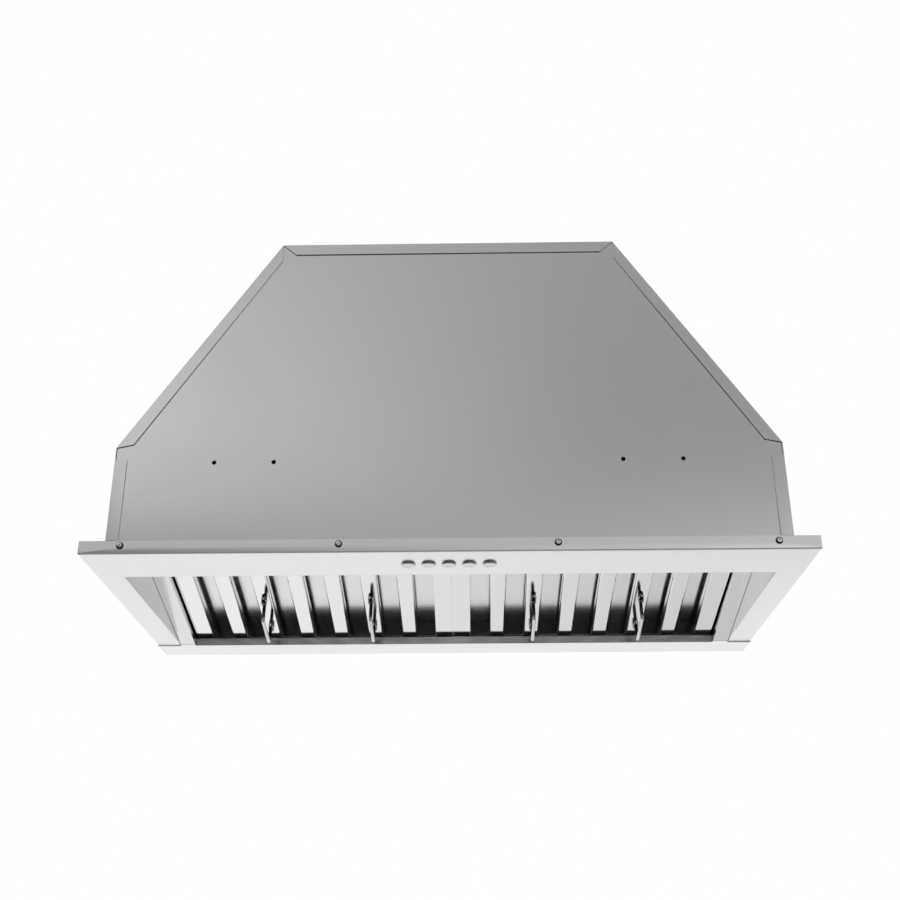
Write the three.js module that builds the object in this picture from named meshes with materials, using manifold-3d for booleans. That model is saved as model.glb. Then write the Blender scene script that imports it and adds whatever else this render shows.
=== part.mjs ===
// Range hood insert: a sheet-metal ventilation unit that is screwed up into a cabinet or liner.
// Units are millimetres, +X right, +Y to the back, +Z up. The origin is in the middle of the
// cabinet seat, the plane on which the flange of the rim rests against the cabinet.

import * as THREE from 'three';
import { mergeVertices } from 'three/addons/utils/BufferGeometryUtils.js';
import Module from 'manifold-3d';

const wasm = await Module();
wasm.setup();

// ---------------------------------------------------------------- driving dimensions

const gap = 0.3;                 // clearance between pieces that rest on each other
const sheet = 1.0;               // thickness of the folded sheet steel

const rimWidth = 720;            // outer width of the rim
const rimDepth = 381;            // front to back
const flangeHeight = 14;         // rim underside up to the cabinet seat
const frontRimDepth = 71;        // front border, which carries the push buttons
const sideRimWidth = 28;         // left and right borders
const seatReach = 25.5;          // the flange reaches this far in, to the side of the body
const shoulderHeight = 113;      // rim underside to where the sides start to lean in
const bodyHeight = 353;          // rim underside to the top panel
const topWidth = 356;            // width of the top panel
const foldWidth = 12.5;          // flanges folded over the front and back panels
const foldStop = 13;             // the side flange ends this far under the shoulder

const traySlope = THREE.MathUtils.degToRad(12.6);  // the filters lean down to the back
const backRimDepth = 44;         // back border, behind the rear lip
const bendLead = 4;              // the tray bends this far ahead of the rear lip
const lipHeight = 9;             // lips folded up round the filter opening
const sideStrip = 18;            // tray beside the filter opening
const lampStrip = 46.2;          // tray ahead of the filter opening, which holds the lamps

const filterGap = 1.0;           // between the two filters
const filterSideGap = 2.5;       // filter to side lip
const filterDepth = 20;          // front faces to the back of the frame
const hingeLead = 2;             // hinge axis ahead of the filter frame
const baffleCount = 6;           // front baffles in each filter
const endBand = 20.25;           // flat band along each side of a filter
const baffleFace = 18.6;         // width of a front baffle's face
const baffleWall = 9;            // height of a front baffle's side walls
const rearBaffleLap = 5;         // each rear baffle reaches this far behind its neighbours
const rearBaffleWall = 12;       // height of a rear baffle's side walls
const filterSheet = 0.8;

const handleRear = 34;           // rear leg of a bail, measured from the rear of the filter
const handleSpan = 53;           // between the two legs of a bail
const handleDrop = 21.5;         // pivot axis to grip axis
const handleWire = 4;            // wire diameter
const pivotDrop = 3.6;           // pivot axis below the baffle face
const clipLength = 6;

const buttonCount = 5;
const buttonPitch = 20.2;
const buttonDiameter = 14;
const buttonSetback = 35.5;      // front plane to the row of buttons
const buttonProud = 2.2;         // how far a button stands out of the rim
const buttonClearance = 0.35;    // round each button in its hole
const buttonTravel = 1.8;

const ductDiameter = 150;        // six inch round duct
const collarHeight = 50;
const outletOffset = 67.5;       // wheel axis to the middle of the duct, front to back

const wheelDiameter = 130;
const wheelHalfLength = 58;      // each half of the double wheel
const carbonClearance = 17.7;    // carbon filter to the front panel
const scrollAxisHeight = 215;    // rim underside to the wheel axis
const scrollHalfWidth = 66;      // wheel middle to the side plates
const scrollStart = 72;          // smallest inner radius of the scroll
const scrollEnd = 112;           // largest inner radius of the scroll
const inletDiameter = 112;
const shaftDiameter = 8;
const motorDiameter = 84;
const motorLength = 46;

const carbonDiameter = 206;
const carbonThickness = 26;
const carbonHole = 12;           // centre hole of the carbon filter
const bayonetSlots = 3;

const lampDiameter = 34;
const lampSpread = 190;          // middle of the hood to each lamp
const fixingHoleDiameter = 4.6;
const fixingHoleHeight = 96.8;   // rim underside to the fixing holes in the front panel
const fixingHoles = [-234.4, -174.6, 174.6, 234.4];
const lipScrewInset = 40.5;      // end of the rim to the outermost lip screw
const lipScrewHeight = 9;
const screwHead = 7.4;

const halfRim = rimWidth / 2;
const halfBody = halfRim - seatReach;
const halfTop = topWidth / 2;
const recessHalf = halfRim - sideRimWidth;
const halfOpening = recessHalf - sideStrip;
const lipScrews = [-1, -1 / 3, 1 / 3, 1].map((share) => share * (halfRim - lipScrewInset));

const rearLipFront = rimDepth - backRimDepth;
const trayBend = rearLipFront - bendLead;
const trayLength = (trayBend - frontRimDepth) / Math.cos(traySlope);
const filterLength = trayLength - lampStrip - hingeLead - gap;
const filterWidth = halfOpening - filterGap / 2 - filterSideGap;
const slotWidth = (filterWidth - 2 * endBand - baffleCount * baffleFace) / (baffleCount + 1);
const bafflePitch = baffleFace + slotWidth;
const panelFront = sheet + gap;           // the front panel stands behind the rim's lip
const scrollSetback = panelFront + sheet + carbonClearance + carbonDiameter / 2;
const ductSetback = scrollSetback + outletOffset;

// ---------------------------------------------------------------- finishes

const finish = (color, roughness, metalness) =>
  new THREE.MeshStandardMaterial({ color, roughness, metalness });
const satinSteel = finish(0xc9cacb, 0.35, 1);
const shellSteel = finish(0xb4b5b5, 0.45, 1);
const brightSteel = finish(0xdcdddd, 0.14, 1);
const zincSteel = finish(0xa9adb0, 0.5, 1);
const chrome = finish(0xe4e6e8, 0.08, 1);
const blackPlastic = finish(0x17181a, 0.55, 0);
const whitePlastic = finish(0xe9e9e5, 0.45, 0);
const boardGreen = finish(0x1f5a3c, 0.6, 0);
const motorGrey = finish(0x6d7276, 0.5, 0.7);
const lampGlass = finish(0xf4f4ee, 0.2, 0);

// ---------------------------------------------------------------- shape helpers

const grain = 1e-3;              // every point lies on this grid
function solid(geometry) {
  const bare = geometry.index ? geometry.toNonIndexed() : geometry.clone();
  bare.deleteAttribute('normal');
  bare.deleteAttribute('uv');
  const places = bare.attributes.position;
  for (let i = 0; i < places.array.length; i += 1) {
    places.array[i] = Math.round(places.array[i] / grain) * grain;   // equal sizes stay equal
  }
  const merged = mergeVertices(bare, grain / 2);
  return new wasm.Manifold(new wasm.Mesh({
    numProp: 3,
    vertProperties: new Float32Array(merged.attributes.position.array),
    triVerts: new Uint32Array(merged.index.array),
  }));
}

const sliver = 4e-3;             // leftovers of the cuts under this size are merged away
function geometryOf(body) {
  const mesh = body.asOriginal().simplify(sliver).getMesh();
  const geometry = new THREE.BufferGeometry();
  geometry.setAttribute('position', new THREE.BufferAttribute(mesh.vertProperties, 3));
  geometry.setIndex(new THREE.BufferAttribute(mesh.triVerts, 1));
  geometry.computeVertexNormals();
  return geometry;
}

function block(x0, x1, y0, y1, z0, z1) {
  const box = new THREE.BoxGeometry(x1 - x0, y1 - y0, z1 - z0);
  return solid(box.translate((x0 + x1) / 2, (y0 + y1) / 2, (z0 + z1) / 2));
}

function shapeOf(points) {
  return new THREE.Shape(points.map(([u, v]) => new THREE.Vector2(u, v)));
}

// an outline in X and Z, extruded from y0 to y1
function slabY(points, y0, y1) {
  const turned = shapeOf(points.map(([x, z]) => [z, x]));
  const slab = new THREE.ExtrudeGeometry(turned, { depth: y1 - y0, bevelEnabled: false });
  slab.applyMatrix4(new THREE.Matrix4().makeBasis(
    new THREE.Vector3(0, 0, 1), new THREE.Vector3(1, 0, 0), new THREE.Vector3(0, 1, 0)));
  return solid(slab.translate(0, y0, 0));
}

// an outline in Y and Z, extruded from x0 to x1
function slabX(points, x0, x1) {
  const slab = new THREE.ExtrudeGeometry(shapeOf(points), { depth: x1 - x0, bevelEnabled: false });
  slab.applyMatrix4(new THREE.Matrix4().makeBasis(
    new THREE.Vector3(0, 1, 0), new THREE.Vector3(0, 0, 1), new THREE.Vector3(1, 0, 0)));
  return solid(slab.translate(x0, 0, 0));
}

// a round bar along Z, from z0 to z1
function rod(x, y, z0, z1, diameter, sides = 32) {
  const bar = new THREE.CylinderGeometry(diameter / 2, diameter / 2, z1 - z0, sides);
  return solid(bar.rotateX(Math.PI / 2).translate(x, y, (z0 + z1) / 2));
}

// the same along X and along Y
function rodX(x0, x1, y, z, diameter, sides = 32) {
  const bar = new THREE.CylinderGeometry(diameter / 2, diameter / 2, x1 - x0, sides);
  return solid(bar.rotateZ(Math.PI / 2).translate((x0 + x1) / 2, y, z));
}
function rodY(x, y0, y1, z, diameter, sides = 24) {
  const bar = new THREE.CylinderGeometry(diameter / 2, diameter / 2, y1 - y0, sides);
  return solid(bar.translate(x, (y0 + y1) / 2, z));
}

const union = (bodies) => bodies.reduce((sum, body) => sum.add(body));
const mirrored = (points) => points.map(([x, z]) => [-x, z]).reverse();

function piece(name, body, material) {
  const mesh = new THREE.Mesh(geometryOf(body), material);
  mesh.name = name;
  return mesh;
}

// ---------------------------------------------------------------- groups

const hood = new THREE.Group();
const unit = new THREE.Group();          // z = 0 at the rim underside, y = 0 at the front plane
unit.position.set(0, -rimDepth / 2, -flangeHeight);
hood.add(unit);
const slope = new THREE.Group();         // lies in the tray, +Y down the slope to the back
slope.position.set(0, trayBend, 0);
slope.rotation.x = -traySlope;
unit.add(slope);

const onSlope = (y) => (trayBend - y) * Math.tan(traySlope);   // tray underside at a depth

// ---------------------------------------------------------------- rim and recess

// One folded sheet: front and side borders, an outer lip, and the inward return that seats
// against the cabinet. The back border belongs to the filter tray.
const sideRimEnd = rearLipFront - 2.5;
function rimPan() {
  const plate = block(-halfRim, halfRim, 0, sideRimEnd, 0, sheet)
    .subtract(block(-recessHalf, recessHalf, frontRimDepth, sideRimEnd + 1, -1, sheet + 1));
  const lip = block(-halfRim, halfRim, 0, sheet, 0, flangeHeight);
  const parts = [plate, lip];
  for (const side of [-1, 1]) {
    const wall = [side * halfRim, side * (halfRim - sheet)].sort((a, b) => a - b);
    const seat = [side * halfRim, side * (halfBody + 2 * gap)].sort((a, b) => a - b);
    parts.push(block(wall[0], wall[1], 0, sideRimEnd, 0, flangeHeight));
    parts.push(block(seat[0], seat[1], 0, sideRimEnd, flangeHeight - sheet, flangeHeight));
  }
  let pan = union(parts);
  for (let i = 0; i < buttonCount; i += 1) {
    const x = (i - (buttonCount - 1) / 2) * buttonPitch;
    pan = pan.subtract(rod(x, buttonSetback, -1, sheet + 1, buttonDiameter + 2 * buttonClearance, 24));
  }
  for (const x of lipScrews) {
    pan = pan.subtract(rodY(x, -1, sheet + 1, lipScrewHeight, screwHead * 0.6, 12));
  }
  return pan;
}
unit.add(piece('rim_pan', rimPan(), satinSteel));

// tapering walls that stand on the side borders, beside the sloping tray
const wallRise = 8;              // above the underside of the tray
const wallFront = frontRimDepth + sheet + gap;
for (const [name, side] of [['recess_wall_left', -1], ['recess_wall_right', 1]]) {
  const outline = [
    [wallFront, sheet + gap],
    [sideRimEnd, sheet + gap],
    [sideRimEnd, onSlope(sideRimEnd) + wallRise],
    [wallFront, onSlope(wallFront) + wallRise],
  ];
  const inner = Math.min(side * recessHalf, side * (recessHalf + sheet));
  unit.add(piece(name, slabX(outline, inner, inner + sheet), satinSteel));
}

// upright wall behind the front border, in front of the lamps
const frontWall = slabX([
  [frontRimDepth, sheet + gap],
  [frontRimDepth + sheet, sheet + gap],
  [frontRimDepth + sheet, onSlope(frontRimDepth + sheet) - gap],
  [frontRimDepth, onSlope(frontRimDepth + sheet) - gap],
], -recessHalf, recessHalf);
unit.add(piece('recess_front_wall', frontWall, satinSteel));

// ---------------------------------------------------------------- filter tray

// the sloping tray and the back border are one sheet with lips folded up round the opening
const trayHalf = recessHalf - gap;
const trayFront = -trayLength;
const hingeY = -filterLength - hingeLead;
const openingFront = hingeY - gap;
const lampY = (trayFront + openingFront) / 2;

function trayPlate() {
  const half = halfOpening;
  const plate = block(-trayHalf, trayHalf, trayFront, 0, 0, sheet)
    .subtract(block(-half, half, openingFront, 1, -1, sheet + 1));
  const parts = [plate];
  parts.push(block(-half - sheet, half + sheet, openingFront - sheet, openingFront, 0, lipHeight));
  for (const side of [-1, 1]) {
    const x = [side * half, side * (half + sheet)].sort((a, b) => a - b);
    parts.push(block(x[0], x[1], openingFront - sheet, 0, 0, lipHeight));
  }
  let tray = union(parts);
  for (const side of [-1, 1]) {
    tray = tray.subtract(rod(side * lampSpread, lampY, -1, sheet + 1, lampDiameter));
  }
  return tray.rotate([-THREE.MathUtils.radToDeg(traySlope), 0, 0]).translate([0, trayBend, 0]);
}

function filterTray() {
  const half = halfOpening;
  const back = rimDepth;
  const border = block(-halfRim, halfRim, sideRimEnd + gap, back, 0, sheet)
    .add(block(-trayHalf, trayHalf, trayBend - 1, sideRimEnd + 1, 0, sheet))
    .subtract(block(-half, half, 0, rearLipFront, -1, sheet + 1));
  const rearLip = block(-half - sheet, half + sheet, rearLipFront, rearLipFront + sheet, 0, lipHeight);
  const backLip = block(-halfRim, halfRim, back - sheet, back, 0, flangeHeight);
  const seat = block(-halfRim, halfRim, rimDepth - 12, back, flangeHeight - sheet, flangeHeight)
    .subtract(block(-halfBody - 2 * gap, halfBody + 2 * gap, 0, back - sheet, 0, 2 * flangeHeight));
  return union([trayPlate(), border, rearLip, backLip, seat]);
}
unit.add(piece('filter_tray', filterTray(), satinSteel));

// ---------------------------------------------------------------- body shell

// outline of the body in X and Z, right half, from the foot of the side wall to the top
const foot = sheet + gap;
const lean = Math.atan2(bodyHeight - shoulderHeight, halfBody - halfTop);
const shoulderInset = Math.tan((Math.PI / 2 - lean) / 2);
const topInset = Math.tan(lean / 2);
// a point at a depth under the outer skin: below the shoulder and below the top corner
const atShoulder = (depth) => [halfBody - depth, shoulderHeight - depth * shoulderInset];
const atTop = (depth) => [halfTop - depth * topInset, bodyHeight - depth];
const slopeStep = (length) => [-Math.cos(lean) * length, Math.sin(lean) * length];
const shifted = ([x, z], [dx, dz]) => [x + dx, z + dz];
const lower = slopeStep(gap);
const upper = slopeStep(-gap);

const frontFold = 0;                      // folded flanges lie in the front and back planes
const backPlane = rimDepth - sheet - gap; // the body stands just inside the back lip
const panelBack = backPlane - 2 * sheet - gap;

function sidePanel(side) {
  const turn = side > 0 ? (points) => points : mirrored;
  const web = [[halfBody, foot], atShoulder(0), atShoulder(sheet), [halfBody - sheet, foot]];
  const fold = [
    [halfBody, flangeHeight + gap], [halfBody, shoulderHeight - foldStop],
    [halfBody - foldWidth, shoulderHeight - foldStop], [halfBody - foldWidth, flangeHeight + gap],
  ];
  const webLow = slabY(turn(web), panelFront, backPlane);
  const webHigh = slabY(turn([[halfBody, flangeHeight + gap], atShoulder(0),
    atShoulder(sheet), [halfBody - sheet, flangeHeight + gap]]), frontFold, backPlane);
  const frontFlange = slabY(turn(fold), frontFold, frontFold + sheet);
  const backFlange = slabY(turn(fold), backPlane - sheet, backPlane);
  return union([webLow, webHigh, frontFlange, backFlange]);
}

function slopePanel(side) {
  const turn = side > 0 ? (points) => points : mirrored;
  const web = [
    shifted(atShoulder(0), lower), shifted(atTop(0), upper),
    shifted(atTop(sheet), upper), shifted(atShoulder(sheet), lower),
  ];
  const fold = [
    shifted(atShoulder(0), lower), shifted(atTop(0), upper),
    [halfTop - gap, bodyHeight - foldWidth * 1.55],
    shifted(atShoulder(foldWidth), slopeStep(9)),
  ];
  const skin = slabY(turn(web), frontFold, backPlane);
  const frontFlange = slabY(turn(fold), frontFold, frontFold + sheet);
  const backFlange = slabY(turn(fold), backPlane - sheet, backPlane);
  return union([skin, frontFlange, backFlange]);
}

const collarBore = ductDiameter - 2 * sheet;
const glandInset = 48;                    // from the right edge of the top
const glandX = halfTop - glandInset;
const glandY = rimDepth - 61;
const glandHole = 16;
function topPanel() {
  const web = [atTop(0), mirrored([atTop(0)])[0], mirrored([atTop(sheet)])[0], atTop(sheet)];
  const inner = [halfTop - foldWidth * 1.15, bodyHeight - foldWidth];
  const fold = [atTop(0), mirrored([atTop(0)])[0], mirrored([inner])[0], inner];
  const skin = slabY(web, frontFold, backPlane)
    .subtract(rod(0, ductSetback, bodyHeight - 5, bodyHeight + 5, collarBore, 48))
    .subtract(rod(glandX, glandY, bodyHeight - 5, bodyHeight + 5, glandHole, 24));
  const frontFlange = slabY(fold, frontFold, frontFold + sheet);
  const backFlange = slabY(fold, backPlane - sheet, backPlane);
  return union([skin, frontFlange, backFlange]);
}

// hexagonal panel between the walls, with its edge just inside them
function endPanel(y0, bottom, holes) {
  const inside = sheet + gap;
  const right = [[halfBody - inside, bottom], atShoulder(inside), atTop(inside)];
  let panel = slabY([...right, ...mirrored(right)], y0, y0 + sheet);
  for (const x of holes) {
    panel = panel.subtract(rodY(x, y0 - 1, y0 + sheet + 1, fixingHoleHeight, fixingHoleDiameter, 16));
  }
  return panel;
}

unit.add(piece('side_panel_left', sidePanel(-1), shellSteel));
unit.add(piece('side_panel_right', sidePanel(1), shellSteel));
unit.add(piece('slope_panel_left', slopePanel(-1), shellSteel));
unit.add(piece('slope_panel_right', slopePanel(1), shellSteel));
unit.add(piece('top_panel', topPanel(), shellSteel));
let frontPanel = endPanel(panelFront, foot, fixingHoles);
for (const x of lipScrews) {
  frontPanel = frontPanel.subtract(
    rodY(x, 0, panelFront + sheet + 1, lipScrewHeight, screwHead * 0.6, 12));
}
unit.add(piece('front_panel', frontPanel, shellSteel));
unit.add(piece('back_panel', endPanel(panelBack, foot, fixingHoles), shellSteel));


// ---------------------------------------------------------------- duct collar and damper

const collarBase = bodyHeight + gap;
const damperHeight = collarBase + 22;
const damperPinDiameter = 4;
const damperBore = damperPinDiameter + 2 * gap;
const knuckleDiameter = 8;
const flapSheet = 0.8;
const flapClearance = 1.5;

function ring(outer, inner, z0, z1, x = 0, y = ductSetback, sides = 48) {
  return rod(x, y, z0, z1, outer, sides).subtract(rod(x, y, z0 - 1, z1 + 1, inner, sides));
}

const collar = ring(ductDiameter, collarBore, collarBase, collarBase + collarHeight)
  .add(ring(ductDiameter + 26, collarBore, collarBase, collarBase + sheet))
  .subtract(rodX(-ductDiameter, ductDiameter, ductSetback, damperHeight, damperBore, 16));
unit.add(piece('duct_collar', collar, zincSteel));

const pinHalf = ductDiameter / 2 + 2;
unit.add(piece('damper_pin', rodX(-pinHalf, pinHalf, ductSetback, damperHeight,
  damperPinDiameter, 16), zincSteel));

function damperFlap(side, knuckles) {
  const disc = rod(0, ductSetback, damperHeight - flapSheet / 2, damperHeight + flapSheet / 2,
    collarBore - 2 * flapClearance, 48);
  const near = ductSetback + side * (knuckleDiameter / 2 + 1);
  const far = ductSetback + side * ductDiameter;
  const half = block(-ductDiameter, ductDiameter, Math.min(near, far), Math.max(near, far),
    damperHeight - 5, damperHeight + 5);
  let flap = disc.intersect(half);
  for (const [x0, x1] of knuckles) {
    flap = flap.add(rodX(x0, x1, ductSetback, damperHeight, knuckleDiameter, 16));
    flap = flap.add(block(x0, x1, Math.min(ductSetback, near + side), Math.max(ductSetback, near + side),
      damperHeight - flapSheet / 2, damperHeight + flapSheet / 2));
  }
  return flap.subtract(rodX(-pinHalf, pinHalf, ductSetback, damperHeight, damperBore, 16));
}
unit.add(piece('damper_flap_front', damperFlap(-1, [[-60, -40], [15, 35]]), zincSteel));
unit.add(piece('damper_flap_rear', damperFlap(1, [[-35, -15], [40, 60]]), zincSteel));

const glandCord = 8;
const glandNut = 22;
const gland = rod(glandX, glandY, bodyHeight - 9, bodyHeight + gap + 1, glandHole - 1, 24)
  .add(rod(glandX, glandY, bodyHeight + gap, bodyHeight + 5, glandNut, 24))
  .subtract(rod(glandX, glandY, bodyHeight - 20, bodyHeight + 20, glandCord, 16));
unit.add(piece('cable_gland', gland, blackPlastic));

// ---------------------------------------------------------------- blower

const blower = new THREE.Group();        // origin on the wheel axis, in the middle of the wheel
blower.position.set(0, scrollSetback, scrollAxisHeight);
unit.add(blower);

const outletPlateZ = bodyHeight - sheet - gap - scrollAxisHeight;   // top of the outlet plate
const scrollTop = outletPlateZ - sheet;
const tongueAngle = 70;
const spiralSteps = 29;
function spiral(offset) {
  const points = [];
  for (let i = 0; i <= spiralSteps; i += 1) {
    const turn = i / spiralSteps;
    const angle = THREE.MathUtils.degToRad(tongueAngle + (360 - tongueAngle) * turn);
    const radius = scrollStart + (scrollEnd - scrollStart) * turn + offset;
    points.push([radius * Math.cos(angle), radius * Math.sin(angle)]);
  }
  return points;
}
const tongue = spiral(0)[0];
function scrollOutline(offset, top) {
  const start = spiral(offset)[0];
  return [[start[0] - offset * 0.4, top], ...spiral(offset), [scrollEnd + offset, top]];
}

function scrollBand() {
  const outer = scrollOutline(sheet, scrollTop + sheet / 2);
  const inner = scrollOutline(0, scrollTop + 1 + sheet);
  inner[0][0] = tongue[0];
  outer[0][0] = tongue[0] - sheet;
  outer[1] = [tongue[0] - sheet, tongue[1]];
  const wrap = slabX(outer, -scrollHalfWidth, scrollHalfWidth)
    .subtract(slabX(inner, -scrollHalfWidth - 1, scrollHalfWidth + 1));
  const middle = ductSetback - scrollSetback;
  const plateHalf = ductDiameter / 2 + 13;
  const plate = block(-plateHalf, plateHalf, middle - plateHalf, middle + plateHalf,
    outletPlateZ - sheet, outletPlateZ)
    .subtract(block(-scrollHalfWidth, scrollHalfWidth, tongue[0], scrollEnd, 0, 2 * outletPlateZ));
  return wrap.add(plate);
}
blower.add(piece('blower_scroll', scrollBand(), zincSteel));

const sideFlange = 6;
for (const [name, side] of [['blower_side_left', -1], ['blower_side_right', 1]]) {
  const x = side < 0 ? -scrollHalfWidth - gap - sheet : scrollHalfWidth + gap;
  const outline = scrollOutline(sideFlange, scrollTop - gap);
  const plate = slabX(outline, x, x + sheet).subtract(rodX(x - 1, x + sheet + 1, 0, 0, inletDiameter, 40));
  blower.add(piece(name, plate, zincSteel));
}

const bladeCount = 16;
const bladeRoot = inletDiameter / 2 - 1;
function impeller() {
  const rimWide = 2;
  const tip = wheelDiameter / 2;
  const disc = rodX(-1, 1, 0, 0, wheelDiameter, 32).add(rodX(-9, 9, 0, 0, 22, 24));
  const parts = [disc];
  for (const end of [-wheelHalfLength, wheelHalfLength - rimWide]) {
    parts.push(rodX(end, end + rimWide, 0, 0, wheelDiameter, 32)
      .subtract(rodX(end - 1, end + rimWide + 1, 0, 0, inletDiameter, 32)));
  }
  for (let i = 0; i < bladeCount; i += 1) {
    const turn = (360 * i) / bladeCount;
    parts.push(block(-wheelHalfLength + 0.5, wheelHalfLength - 0.5, bladeRoot - tip + 0.6, 0, -0.6, 0.6)
      .rotate([-30, 0, 0]).translate([0, tip - 1, 0]).rotate([turn, 0, 0]));
  }
  const wheel = union(parts);
  return wheel.subtract(rodX(-20, 20, 0, 0, shaftDiameter + 2 * gap, 24));
}
blower.add(piece('impeller', impeller(), zincSteel));

const motorFront = -12;
const motorBack = motorFront - motorLength;
const shaftEnd = 16;
blower.add(piece('motor_shaft', rodX(motorFront + gap, shaftEnd, 0, 0, shaftDiameter, 24), zincSteel));
const motor = rodX(motorBack, motorFront - 3, 0, 0, motorDiameter, 36)
  .add(rodX(motorFront - 3.5, motorFront, 0, 0, 30, 24));
blower.add(piece('blower_motor', motor, motorGrey));

const bracketX = -scrollHalfWidth - 2 * gap - sheet;
function motorBracket() {
  const thick = 1.5;
  const parts = [rodX(bracketX - thick, bracketX, 0, 0, 60, 24)];
  for (let i = 0; i < 3; i += 1) {
    parts.push(block(bracketX - thick, bracketX, 0, inletDiameter / 2 + 7, -7, 7).rotate([90 + 120 * i, 0, 0]));
    parts.push(rodX(bracketX - thick, motorBack - gap, 20, 0, 6, 12).rotate([30 + 120 * i, 0, 0]));
  }
  return union(parts);
}
blower.add(piece('motor_bracket', motorBracket(), zincSteel));

// round guards over the two inlets, each with a bayonet boss for a carbon filter
const guardInner = -bracketX + 1.5 + gap;         // distance from the wheel middle
const guardThick = 3;
const guardDiameter = 150;
const bossDiameter = carbonHole - 2 * gap;
const carbonBack = guardInner + guardThick + gap;
const hubPlate = 3;
const lugInner = carbonBack + hubPlate + gap;
const lugThick = 2;
const lugReach = 11;
function inletGuard() {
  const seat = -bracketX;
  const parts = [
    rodX(seat, guardInner + guardThick, 0, 0, guardDiameter, 32)
      .subtract(rodX(seat - 1, guardInner + guardThick + 1, 0, 0, guardDiameter - 8, 32)),
    rodX(guardInner, guardInner + guardThick, 0, 0, 34, 18),
    rodX(guardInner, lugInner + lugThick, 0, 0, bossDiameter, 16),
    rodX(guardInner, guardInner + guardThick, 0, 0, 90, 24)
      .subtract(rodX(guardInner - 1, guardInner + guardThick + 1, 0, 0, 84, 24)),
  ];
  for (let i = 0; i < 6; i += 1) {
    parts.push(block(guardInner, guardInner + guardThick, 0, guardDiameter / 2 - 1, -1.5, 1.5)
      .rotate([60 * i + 30, 0, 0]));
  }
  for (let i = 0; i < bayonetSlots; i += 1) {
    parts.push(block(lugInner, lugInner + lugThick, 0, lugReach, -2.2, 2.2).rotate([120 * i, 0, 0]));
  }
  return union(parts);
}
const guard = inletGuard();
blower.add(piece('inlet_guard_right', guard, blackPlastic));
blower.add(piece('inlet_guard_left', guard.mirror([1, 0, 0]), blackPlastic));

// carbon filters: round cassettes that turn on to the bayonet bosses
const bayonetTurn = 42;
function carbonFilter(hand) {
  const front = carbonBack + carbonThickness;
  const outer = carbonDiameter / 2;
  const profile = [
    [0, carbonBack], [outer - 2, carbonBack], [outer, carbonBack + 2], [outer, front - 1.5],
    [outer - 1.5, front], [outer - 5, front], [outer - 5, front - 2.5], [22, front - 2.5],
    [22, front], [18, front], [17, carbonBack + hubPlate], [0, carbonBack + hubPlate],
  ];
  const lathe = new THREE.LatheGeometry(profile.map(([r, x]) => new THREE.Vector2(r, x)), 32);
  let body = solid(lathe.rotateZ(-Math.PI / 2));
  for (let i = 0; i < 12; i += 1) {
    body = body.add(block(front - 3, front, 20, outer - 4, -0.9, 0.9).rotate([30 * i + 15, 0, 0]));
  }
  for (const radius of [45, 75]) {
    body = body.add(rodX(front - 3, front, 0, 0, 2 * radius, 24)
      .subtract(rodX(front - 4, front + 1, 0, 0, 2 * radius - 3, 24)));
  }
  body = body.subtract(rodX(carbonBack - 1, front, 0, 0, carbonHole + gap, 24));
  for (let i = 0; i < bayonetSlots; i += 1) {
    const slots = [-13, 0, 13].map((spread) =>
      block(carbonBack - 1, carbonBack + hubPlate + 1, 0, lugReach + 1, -3, 3)
        .rotate([120 * i + hand * bayonetTurn + spread, 0, 0]));
    body = body.subtract(union(slots));
  }
  return body;
}
blower.add(piece('carbon_filter_right', carbonFilter(1), blackPlastic));
blower.add(piece('carbon_filter_left', carbonFilter(1).mirror([1, 0, 0]), blackPlastic));

// ---------------------------------------------------------------- switches and buttons

const stemDiameter = 8;
const stemTop = 14;
const capTop = sheet + gap;
const blockFoot = sheet + gap;
const buttonPlaces = Array.from({ length: buttonCount },
  (_, i) => (i - (buttonCount - 1) / 2) * buttonPitch);

const switchTop = 24;
const switchDepth = 24;
const switchHalf = (buttonCount * buttonPitch) / 2 + buttonClearance + 7.65;

function switchBlock() {
  let housing = block(-switchHalf, switchHalf, buttonSetback - switchDepth / 2,
    buttonSetback + switchDepth / 2, blockFoot, switchTop);
  for (const x of buttonPlaces) {
    housing = housing.subtract(rod(x, buttonSetback, 0, capTop + buttonTravel + 1,
      buttonDiameter + 4 * buttonClearance, 20));
    housing = housing.subtract(rod(x, buttonSetback, 0, stemTop + buttonTravel + 2,
      stemDiameter + 2 * buttonClearance, 14));
  }
  return housing;
}
unit.add(piece('switch_block', switchBlock(), blackPlastic));
const boardThick = 1.7;
const boardMargin = 3.5;         // the board reaches this far past the switches
const plugHigh = 8;
const plugWide = 18;
const boardHalf = switchHalf + boardMargin;
const boardTop = switchTop + gap + boardThick;
const switchBoard = block(-boardHalf, boardHalf, buttonSetback - switchDepth / 2 - boardMargin,
  buttonSetback + switchDepth / 2 + boardMargin, switchTop + gap, boardTop)
  .add(block(boardHalf - plugWide - boardMargin, boardHalf - boardMargin, buttonSetback - plugHigh,
    buttonSetback + plugHigh, boardTop - 1, boardTop + plugHigh));
unit.add(piece('switch_board', switchBoard, boardGreen));

const buttonNames = ['button_power', 'button_low', 'button_medium', 'button_high', 'button_lamp'];
buttonPlaces.forEach((x, i) => {
  const cap = buttonDiameter / 2;
  const profile = [
    [0, -buttonProud], [cap - 1.2, -buttonProud], [cap - 0.3, -buttonProud + 0.3],
    [cap, -buttonProud + 1], [cap, capTop], [stemDiameter / 2, capTop],
    [stemDiameter / 2, stemTop], [0, stemTop],
  ];
  const lathe = new THREE.LatheGeometry(profile.map(([r, z]) => new THREE.Vector2(r, z)), 24);
  const button = solid(lathe.rotateX(Math.PI / 2)).translate([x, buttonSetback, 0]);
  unit.add(piece(buttonNames[i], button, chrome));
});

// ---------------------------------------------------------------- control box

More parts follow.
